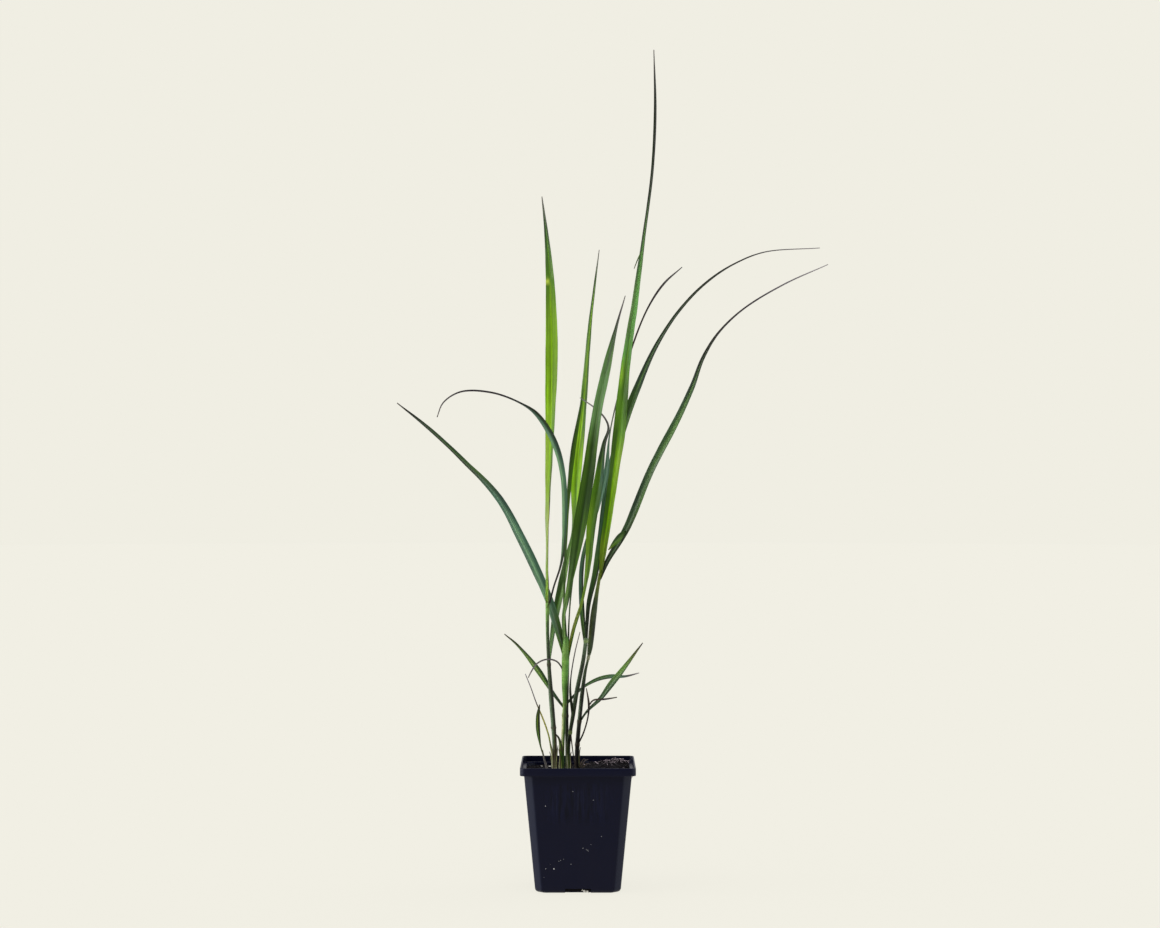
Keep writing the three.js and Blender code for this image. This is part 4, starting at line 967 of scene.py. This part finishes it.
# A stem: a rod with swollen joints that have a colour of their own
def stem(name, route, joints, stops, joint_colour, material, node):
    run, points, heading, distance = measured_run(route, STEM_STATION)
    swell = sum((np.exp(-((points[:, 2] - z) / JOINT_LENGTH) ** 2) for z in joints), np.zeros(len(points)))
    lines = line_mesh(name, [{
        "points": points, "face": face_directions(heading, np.zeros(len(points))),
        "radius": (run[:, 3] + JOINT_SWELL * swell) * MM, "distance": distance * MM, "height": points[:, 2],
        "swell": swell}])
    mesh = grown(name, lines, STEM_TREE, STEM_FORM | {"Material": material})
    heights, swollen = read_layer(mesh, "height"), read_layer(mesh, "swell")
    middle, radius = (np.interp(heights, points[:, 2], run[:, column]) for column in (0, 3))
    # Across runs from the stem's left side to its right: its paler left and darker right colours are painted
    # light and shade
    across = (np.array([vertex.co.x for vertex in mesh.vertices]) / MM - middle) / radius
    mark = np.clip(swollen, 0, 1)[:, None] * JOINT_MARK
    write_tint(mesh, tint_across(heights, across, stops) * (1 - mark) + np.array(linear(joint_colour)) * mark)
    add_piece(name, mesh, node)


# Every stem with its living and its dry leaves, then the scraps and twigs at their feet
def grow_plant():
    for node, route, joints, stem_stops, joint_colour, blades in TILLERS:
        dead = node == "stub_dried"
        stem(node + "_culm", route, joints, stem_stops, joint_colour, DEAD_SKIN if dead else STEM_SKIN,
             node)
        for finish, leaf_skin, word in ((GREEN, LEAF_SKIN, "_leaves"), (DRY, DEAD_SKIN, "_dry_leaves")):
            group = [(rows, stops) for rows, stops, leaf_finish in blades if leaf_finish == finish]
            if group:
                leaves(node + word, group, leaf_skin, node)
    scraps = [(rows, SCRAP_COLOURS) for rows in SHEATH_SCRAPS] + [(rows, TWIG_COLOURS) for rows in TWIGS]
    leaves("dry_sheath_scraps", scraps, DEAD_SKIN, None)


# Outlines of the pot, in millimetres: a square with softened chamfers, or with round corners for the rim
def softened(a, corner, b):
    shares = np.linspace(0, 1, CORNER_STEPS)[:, None]
    a, corner, b = (np.array(p, float) for p in (a, corner, b))
    return (1 - shares) ** 2 * a + 2 * shares * (1 - shares) * corner + shares ** 2 * b


def chamfer_corner(half, chamfer):
    soft = min(CHAMFER_SOFTNESS, chamfer / 3)
    slope = soft * math.sqrt(0.5)
    low, high = (half, half - chamfer), (half - chamfer, half)
    return np.vstack([
        softened((half, low[1] - soft), low, (half - slope, low[1] + slope)),
        softened((high[0] + slope, half - slope), high, (high[0] - soft, half))])


def round_corner(half, radius):
    angles = np.linspace(0, math.pi / 2, 2 * CORNER_STEPS)
    return half - radius + radius * np.stack([np.cos(angles), np.sin(angles)], axis=1)


# An outline at a height: four times the corner, with a side after each
def full_outline(corner, z):
    quarters = []
    for quarter in range(4):
        c, s = [(1, 0), (0, 1), (-1, 0), (0, -1)][quarter]
        turn = np.array([[c, s], [-s, c]])
        start = corner[-1]
        end = np.array([-start[0], start[1]])
        side = start + (end - start) * (np.arange(1, SIDE_STEPS) / SIDE_STEPS)[:, None]
        quarters.append(np.vstack([corner, side]) @ turn)
    points = np.vstack(quarters)
    return np.column_stack([points, np.full(len(points), z)])


# Half the body's width at a height
def body_half(z):
    return (BODY_BASE_WIDTH + (BODY_TOP_WIDTH - BODY_BASE_WIDTH) * z / BODY_TOP) / 2


def body_outline(z, inset=0.0, fluted=False):
    chamfer = CHAMFER_BASE + (CHAMFER_TOP - CHAMFER_BASE) * z / BODY_TOP
    outline = full_outline(chamfer_corner(body_half(z) - inset, chamfer), z)
    return fluted_outline(outline, z) if fluted else outline


# Shallow upright flutes in the upper part of each face, uneven as flow marks in a moulding are
def fluted_outline(outline, z):
    above_foot = np.clip((z - FLUTE_FOOT) / FLUTE_FOOT_FADE, 0, 1)
    window = above_foot * np.clip((FLUTE_TOP - z) / FLUTE_TOP_FADE, 0, 1)
    out = outline.copy()
    for axis, other in ((0, 1), (1, 0)):
        on_face = np.abs(outline[:, axis]) > np.abs(outline[:, other])
        along = outline[:, other]
        wander = FLUTE_WANDER * np.sin(along * WANDER_PER_MM)
        wave = 0.5 + 0.5 * np.cos(2 * math.pi * along / FLUTE_PITCH + wander)
        edge = np.clip((FLUTE_REACH - np.abs(along)) / FLUTE_SIDE_FADE, 0, 1)
        out[:, axis] -= np.sign(outline[:, axis]) * on_face * FLUTE_DEPTH * window * wave ** 3 * edge
    return out


def rim_outline(z, inset):
    radius = max(RIM_CORNER_RADIUS - inset, SMALLEST_RIM_RADIUS)
    return full_outline(round_corner(RIM_WIDTH / 2 - inset, radius), z)


# A closed body over rings of equal count, its first and last ring closed by a fan about a middle point
def lofted(name, rings):
    rings = np.array(rings) * MM
    layers, count = rings.shape[:2]
    around = np.arange(count)
    after = (around + 1) % count
    faces = []
    for layer in range(layers - 1):
        a, b = layer * count + around, layer * count + after
        faces.append(np.stack([a, b, b + count, a + count], axis=1))
    first, last = rings[0].mean(axis=0), rings[-1].mean(axis=0)
    points = np.vstack([rings.reshape(-1, 3), first, last])
    top = (layers - 1) * count
    fans = [(int(after[i]), i, layers * count) for i in around]
    fans += [(top + i, top + int(after[i]), layers * count + 1) for i in around]
    mesh = bpy.data.meshes.new(name)
    mesh.from_pydata(points.tolist(), [], np.vstack(faces).tolist() + fans)
    mesh.polygons.foreach_set("use_smooth", [True] * len(mesh.polygons))
    return mesh


# Four boxes over the middle of the bottom edges, which cut the drainage slots
def slot_boxes():
    slots = bpy.data.meshes.new("slots")
    shape = bmesh.new()
    for side in range(4):
        turn = Matrix.Rotation(side * math.pi / 2, 4, "Z")
        place = turn @ Matrix.Translation((0, -body_half(0) * MM, 0))
        size = Matrix.Diagonal((SLOT_WIDTH * MM, 2 * SLOT_REACH * MM, 2 * SLOT_HEIGHT * MM, 1))
        bmesh.ops.create_cube(shape, size=1, matrix=place @ size)
    shape.to_mesh(slots)
    shape.free()
    return put_in_scene("slots", slots)


# The pot: up the outside, over the rim, down the inside and across the floor, with a slot in each side
def make_pot():
    quarter = [np.linspace(0, math.pi / 2, count) for count in (7, 5)]
    rings = [body_outline(BASE_EDGE_RADIUS * (1 - math.cos(a)), BASE_EDGE_RADIUS * (1 - math.sin(a)))
             for a in quarter[0]]
    outside = (*PLAIN_RINGS, *FLUTED_RINGS, 91, BODY_TOP - 1.2, BODY_TOP - 0.7)
    rings += [body_outline(z, 0, True) for z in outside]
    rings += [body_outline(BODY_TOP - 0.3, -0.15), rim_outline(BODY_TOP - 0.05, 3.4),
              rim_outline(BODY_TOP, 2.5), rim_outline(BODY_TOP, 0.7)]
    rings += [rim_outline(BODY_TOP + RIM_EDGE_RADIUS * (1 - math.cos(a)), RIM_EDGE_RADIUS * (1 - math.sin(a)))
              for a in quarter[1]]
    rings += [rim_outline(z, 0) for z in (BODY_TOP + 2, BODY_TOP + 4)]
    edge = WALL / 2
    rings += [rim_outline(POT_HEIGHT - edge + edge * math.sin(a), edge - edge * math.cos(a))
              for a in np.linspace(0, math.pi, 9)]
    rings += [rim_outline(BODY_TOP + WALL + 0.5, WALL), rim_outline(BODY_TOP + WALL, WALL + 0.4),
              body_outline(BODY_TOP + WALL - 0.05, WALL), body_outline(BODY_TOP - 0.3, WALL)]
    rings += [body_outline(z, WALL) for z in (80, 60, 40, 20, 6, FLOOR + 1.2)]
    rings += [body_outline(FLOOR, WALL + 1.5)]
    shell = put_in_scene("pot_shell", lofted("pot", rings))
    cutter = slot_boxes()
    cut = shell.modifiers.new("slots", "BOOLEAN")
    cut.operation = "DIFFERENCE"
    cut.solver = "EXACT"
    cut.object = cutter
    mesh = made_plain(shell, "pot")
    bpy.data.objects.remove(cutter)
    mesh.materials.clear()
    mesh.materials.append(PLASTIC)
    mesh.polygons.foreach_set("use_smooth", [True] * len(mesh.polygons))
    mesh.set_sharp_from_angle(angle=math.radians(SHARP_EDGE))
    add_piece("moulded_pot", mesh, "pot")


# The peat's height: waves, the heap in the back corner, a rise about the crown and small lumps
def hump(x, y, centre, spread):
    return math.exp(-((x - centre[0]) ** 2 + (y - centre[1]) ** 2) / (2 * spread ** 2))


def soil_height(x, y):
    waves = WAVE_HEIGHT * math.sin(x * 0.31 + 1.2) * math.cos(y * 0.27 - 0.4)
    heap = SOIL_MOUND * hump(x, y, MOUND_CENTRE, MOUND_SPREAD)
    crown = CROWN_RISE * hump(x, y, CROWN_CENTRE, CROWN_SPREAD)
    lumps = noise.fractal(Vector((x * LUMPS_PER_MM, y * LUMPS_PER_MM, 4.0)), 0.9, 2.1, 4)
    return SOIL_LEVEL + heap + crown + waves + LUMP_HEIGHT * lumps


# The peat block: up the pot's inside, then rings from the edge inwards, with a hole for the foot of each stem
def make_soil():
    inset = WALL + SEAT_GAP
    rings = [body_outline(z, inset)[::2] for z in (FLOOR + SEAT_GAP, 10, 40, 70, SOIL_SIDE_TOP)]
    edge = body_outline(SOIL_SIDE_TOP, inset)[::2]
    feet = [(route[1][0], route[1][1], route[1][3]) for _, route, *_ in TILLERS]
    for share in np.linspace(1, 0.02, SOIL_RINGS):
        ring = edge.copy()
        ring[:, :2] *= share
        for point in ring:
            x, y = point[:2]
            in_hole = any(math.hypot(x - fx, y - fy) < radius + HOLE_GAP for fx, fy, radius in feet)
            point[2] = soil_height(x, y) - (HOLE_DEPTH if in_hole else 0.0)
        rings.append(ring)
    mesh = lofted("soil", rings)
    mesh.materials.append(PEAT)
    return add_piece("peat_block", mesh, "soil")


# How much of each kind is strewn over the peat, in which sizes and forms
CRUMB_SETTINGS = {
    "Density": 300000.0, "Smallest": 0.35 * MM, "Largest": 1.3 * MM, "Flatness": 0.7, "Everywhere": 0.6,
    "Rounds": 1, "Seed": 11}
CHIP_SETTINGS = {
    "Density": 9000.0, "Smallest": 1.0 * MM, "Largest": 2.6 * MM, "Flatness": 0.35, "Everywhere": 0.5,
    "Rounds": 2, "Seed": 23}
PERLITE_SETTINGS = {
    "Density": 1600.0, "Smallest": 0.4 * MM, "Largest": 1.0 * MM, "Flatness": 0.8, "Everywhere": 0.6,
    "Rounds": 2, "Seed": 5}
FIBRE_SETTINGS = {
    "Density": 150000.0, "Shortest": 3 * MM, "Longest": 7 * MM, "Thickness": 0.026, "Everywhere": 0.01,
    "Lean": 0.8, "Seed": 7}

# What is strewn: name, tree, material and settings
STREWN = [
    ("peat_crumbs", GRAIN_TREE, CRUMB, CRUMB_SETTINGS),
    ("bark_chips", GRAIN_TREE, CRUMB, CHIP_SETTINGS),
    ("perlite_grains", GRAIN_TREE, PERLITE, PERLITE_SETTINGS),
    ("peat_fibres", FIBRE_TREE, FIBRE, FIBRE_SETTINGS)]


def strew_over(block):
    centre = (MOUND_CENTRE[0] * MM, MOUND_CENTRE[1] * MM, SOIL_LEVEL * MM)
    for name, tree, material, settings in STREWN:
        settings |= {"Centre": centre, "Spread": STREWN_SPREAD * MM, "Material": material}
        add_piece(name, grown(name, block.data.copy(), tree, settings))


# Grains at given places: perlite in the front slot and on the peat, and dust on the pot's front
SLOT_PERLITE = [
    (-4.6, -31.2, 2.2, 0.9), (3.4, -31.4, 2.4, 1.3), (5.2, -31.8, 1.8, 1.5), (7, -31.6, 1.5, 1.2),
    (7.8, -32.2, 0.7, 0.8), (-9.5, -30.6, 2.2, 0.6), (9, -31, 2.5, 0.7)]
SURFACE_PERLITE = [(-22.4, 21, 92.4, 1.2), (6, 24, 92.2, 0.6), (-29, 26, 92, 0.6)]
DUST_STAND_OFF = 0.05
DUST_SPOTS = [
    (-3.9, 80.2, 0.55), (12, 73.4, 0.55), (18.2, 44.8, 0.5), (3.9, 35.7, 0.4), (6.4, 34.8, 0.3),
    (7.2, 34.1, 0.4), (8, 33.4, 0.3), (10.1, 38.5, 0.35), (-14.8, 25.4, 0.55), (-13.4, 26, 0.4),
    (-11.2, 27, 0.3), (-24.9, 19.4, 0.55), (-18.7, 19.4, 0.75), (-25.2, 68.7, 0.4), (-5.4, 23, 0.3),
    (-21.5, 22.8, 0.25), (-26.4, 12.6, 0.4)]


# Grains of their own sizes, each at its own place
def set_grains(name, spots, material, flatness, roughness, seed):
    mesh = bpy.data.meshes.new(name + "_spots")
    mesh.from_pydata([(x * MM, y * MM, z * MM) for x, y, z, _ in spots], [], [])
    layer = mesh.attributes.new("size", "FLOAT", "POINT")
    layer.data.foreach_set("value", [size * MM for *_, size in spots])
    add_piece(name, grown(name, mesh, SET_GRAIN_TREE, {
        "Flatness": flatness, "Roughness": roughness * MM, "Seed": seed, "Material": material}))


def make_grains():
    on_front = [(x, -body_half(z) - DUST_STAND_OFF, z, size) for x, z, size in DUST_SPOTS]
    set_grains("slot_perlite", SLOT_PERLITE, PERLITE, 0.6, 0.5, 3)
    set_grains("surface_perlite", SURFACE_PERLITE, PERLITE, 0.8, 0.6, 9)
    set_grains("pot_dust", on_front, DUST, 0.35, 0.35, 4)


# The stage: a plain pale floor
def make_floor():
    floor = bpy.data.meshes.new("floor")
    shape = bmesh.new()
    bmesh.ops.create_circle(shape, cap_ends=True, segments=96, radius=FLOOR_RADIUS)
    shape.to_mesh(floor)
    shape.free()
    material, add = new_material("lit_seamless_paper")
    glow = add("ShaderNodeEmission", {"Color": linear(BACKDROP), "Strength": FLOOR_GLOW})
    matt = add("ShaderNodeBsdfDiffuse", {"Color": linear(FLOOR_TONE)})
    add("ShaderNodeOutputMaterial", {"Surface": add("ShaderNodeAddShader", glow, matt)})
    floor.materials.append(material)
    ground = put_in_scene("floor", floor)
    ground.location.z = -FLOOR_DROP


# Round it, a soft tent of light that is dimmer in front and has a bright strip at the left
def make_tent():
    world = bpy.data.worlds.new("tent")
    world.use_nodes = True
    world.node_tree.nodes.clear()
    add = partial(add_node, world.node_tree)
    x, y, _ = add(SPLIT, add("ShaderNodeTexCoord", out="Generated"), out=None)
    strength = 0.0
    for pattern in ((y, -0.5, 0.5, 0.06, 1.0), (x, -0.86, -0.97, 0.0, 7.5), (x, 0.5, 1.0, 0.0, 0.8)):
        part = add(RANGE, *pattern, interpolation_type="SMOOTHSTEP")
        strength = add(MATH, strength, part, operation="ADD")
    tent = add("ShaderNodeBackground", {"Color": linear("#FFFFFF"), "Strength": strength})
    seen = add("ShaderNodeBackground", {"Color": linear(BACKDROP), "Strength": 1.0})
    to_camera = add("ShaderNodeLightPath", out="Is Camera Ray")
    add("ShaderNodeOutputWorld", {"Surface": add("ShaderNodeMixShader", to_camera, tent, seen)})
    bpy.context.scene.world = world
    bpy.context.scene.view_settings.view_transform = "Standard"


# Three broad soft lamps: name, where each shines from, its strength and its width in degrees
LAMPS = [
    ("key", (-1.6, -0.9, 2.0), 1.2, 40),
    ("front", (0.3, -1.0, 2.4), 1.2, 30),
    ("rim", (1.6, 0.9, 1.3), 0.6, 60)]


def make_lamps():
    for name, place, strength, softness in LAMPS:
        lamp = bpy.data.lights.new(name, "SUN")
        lamp.energy = strength
        lamp.angle = math.radians(softness)
        light = put_in_scene(name, lamp)
        light.rotation_euler = Vector(place).to_track_quat("Z", "Y").to_euler()


# The camera: level, 2.065 m in front of the pot's axis and 334 mm up
def make_camera():
    data = bpy.data.cameras.new("camera")
    data.sensor_width = SENSOR_WIDTH
    data.lens = SENSOR_WIDTH * FOCAL_PIXELS / PHOTO_PIXELS
    camera = put_in_scene("camera", data)
    camera.location = CAMERA_PLACE
    camera.rotation_euler = (math.pi / 2, 0, 0)
    bpy.context.scene.camera = camera


make_camera()
make_floor()
make_tent()
make_lamps()
make_pot()
strew_over(make_soil())
make_grains()
grow_plant()
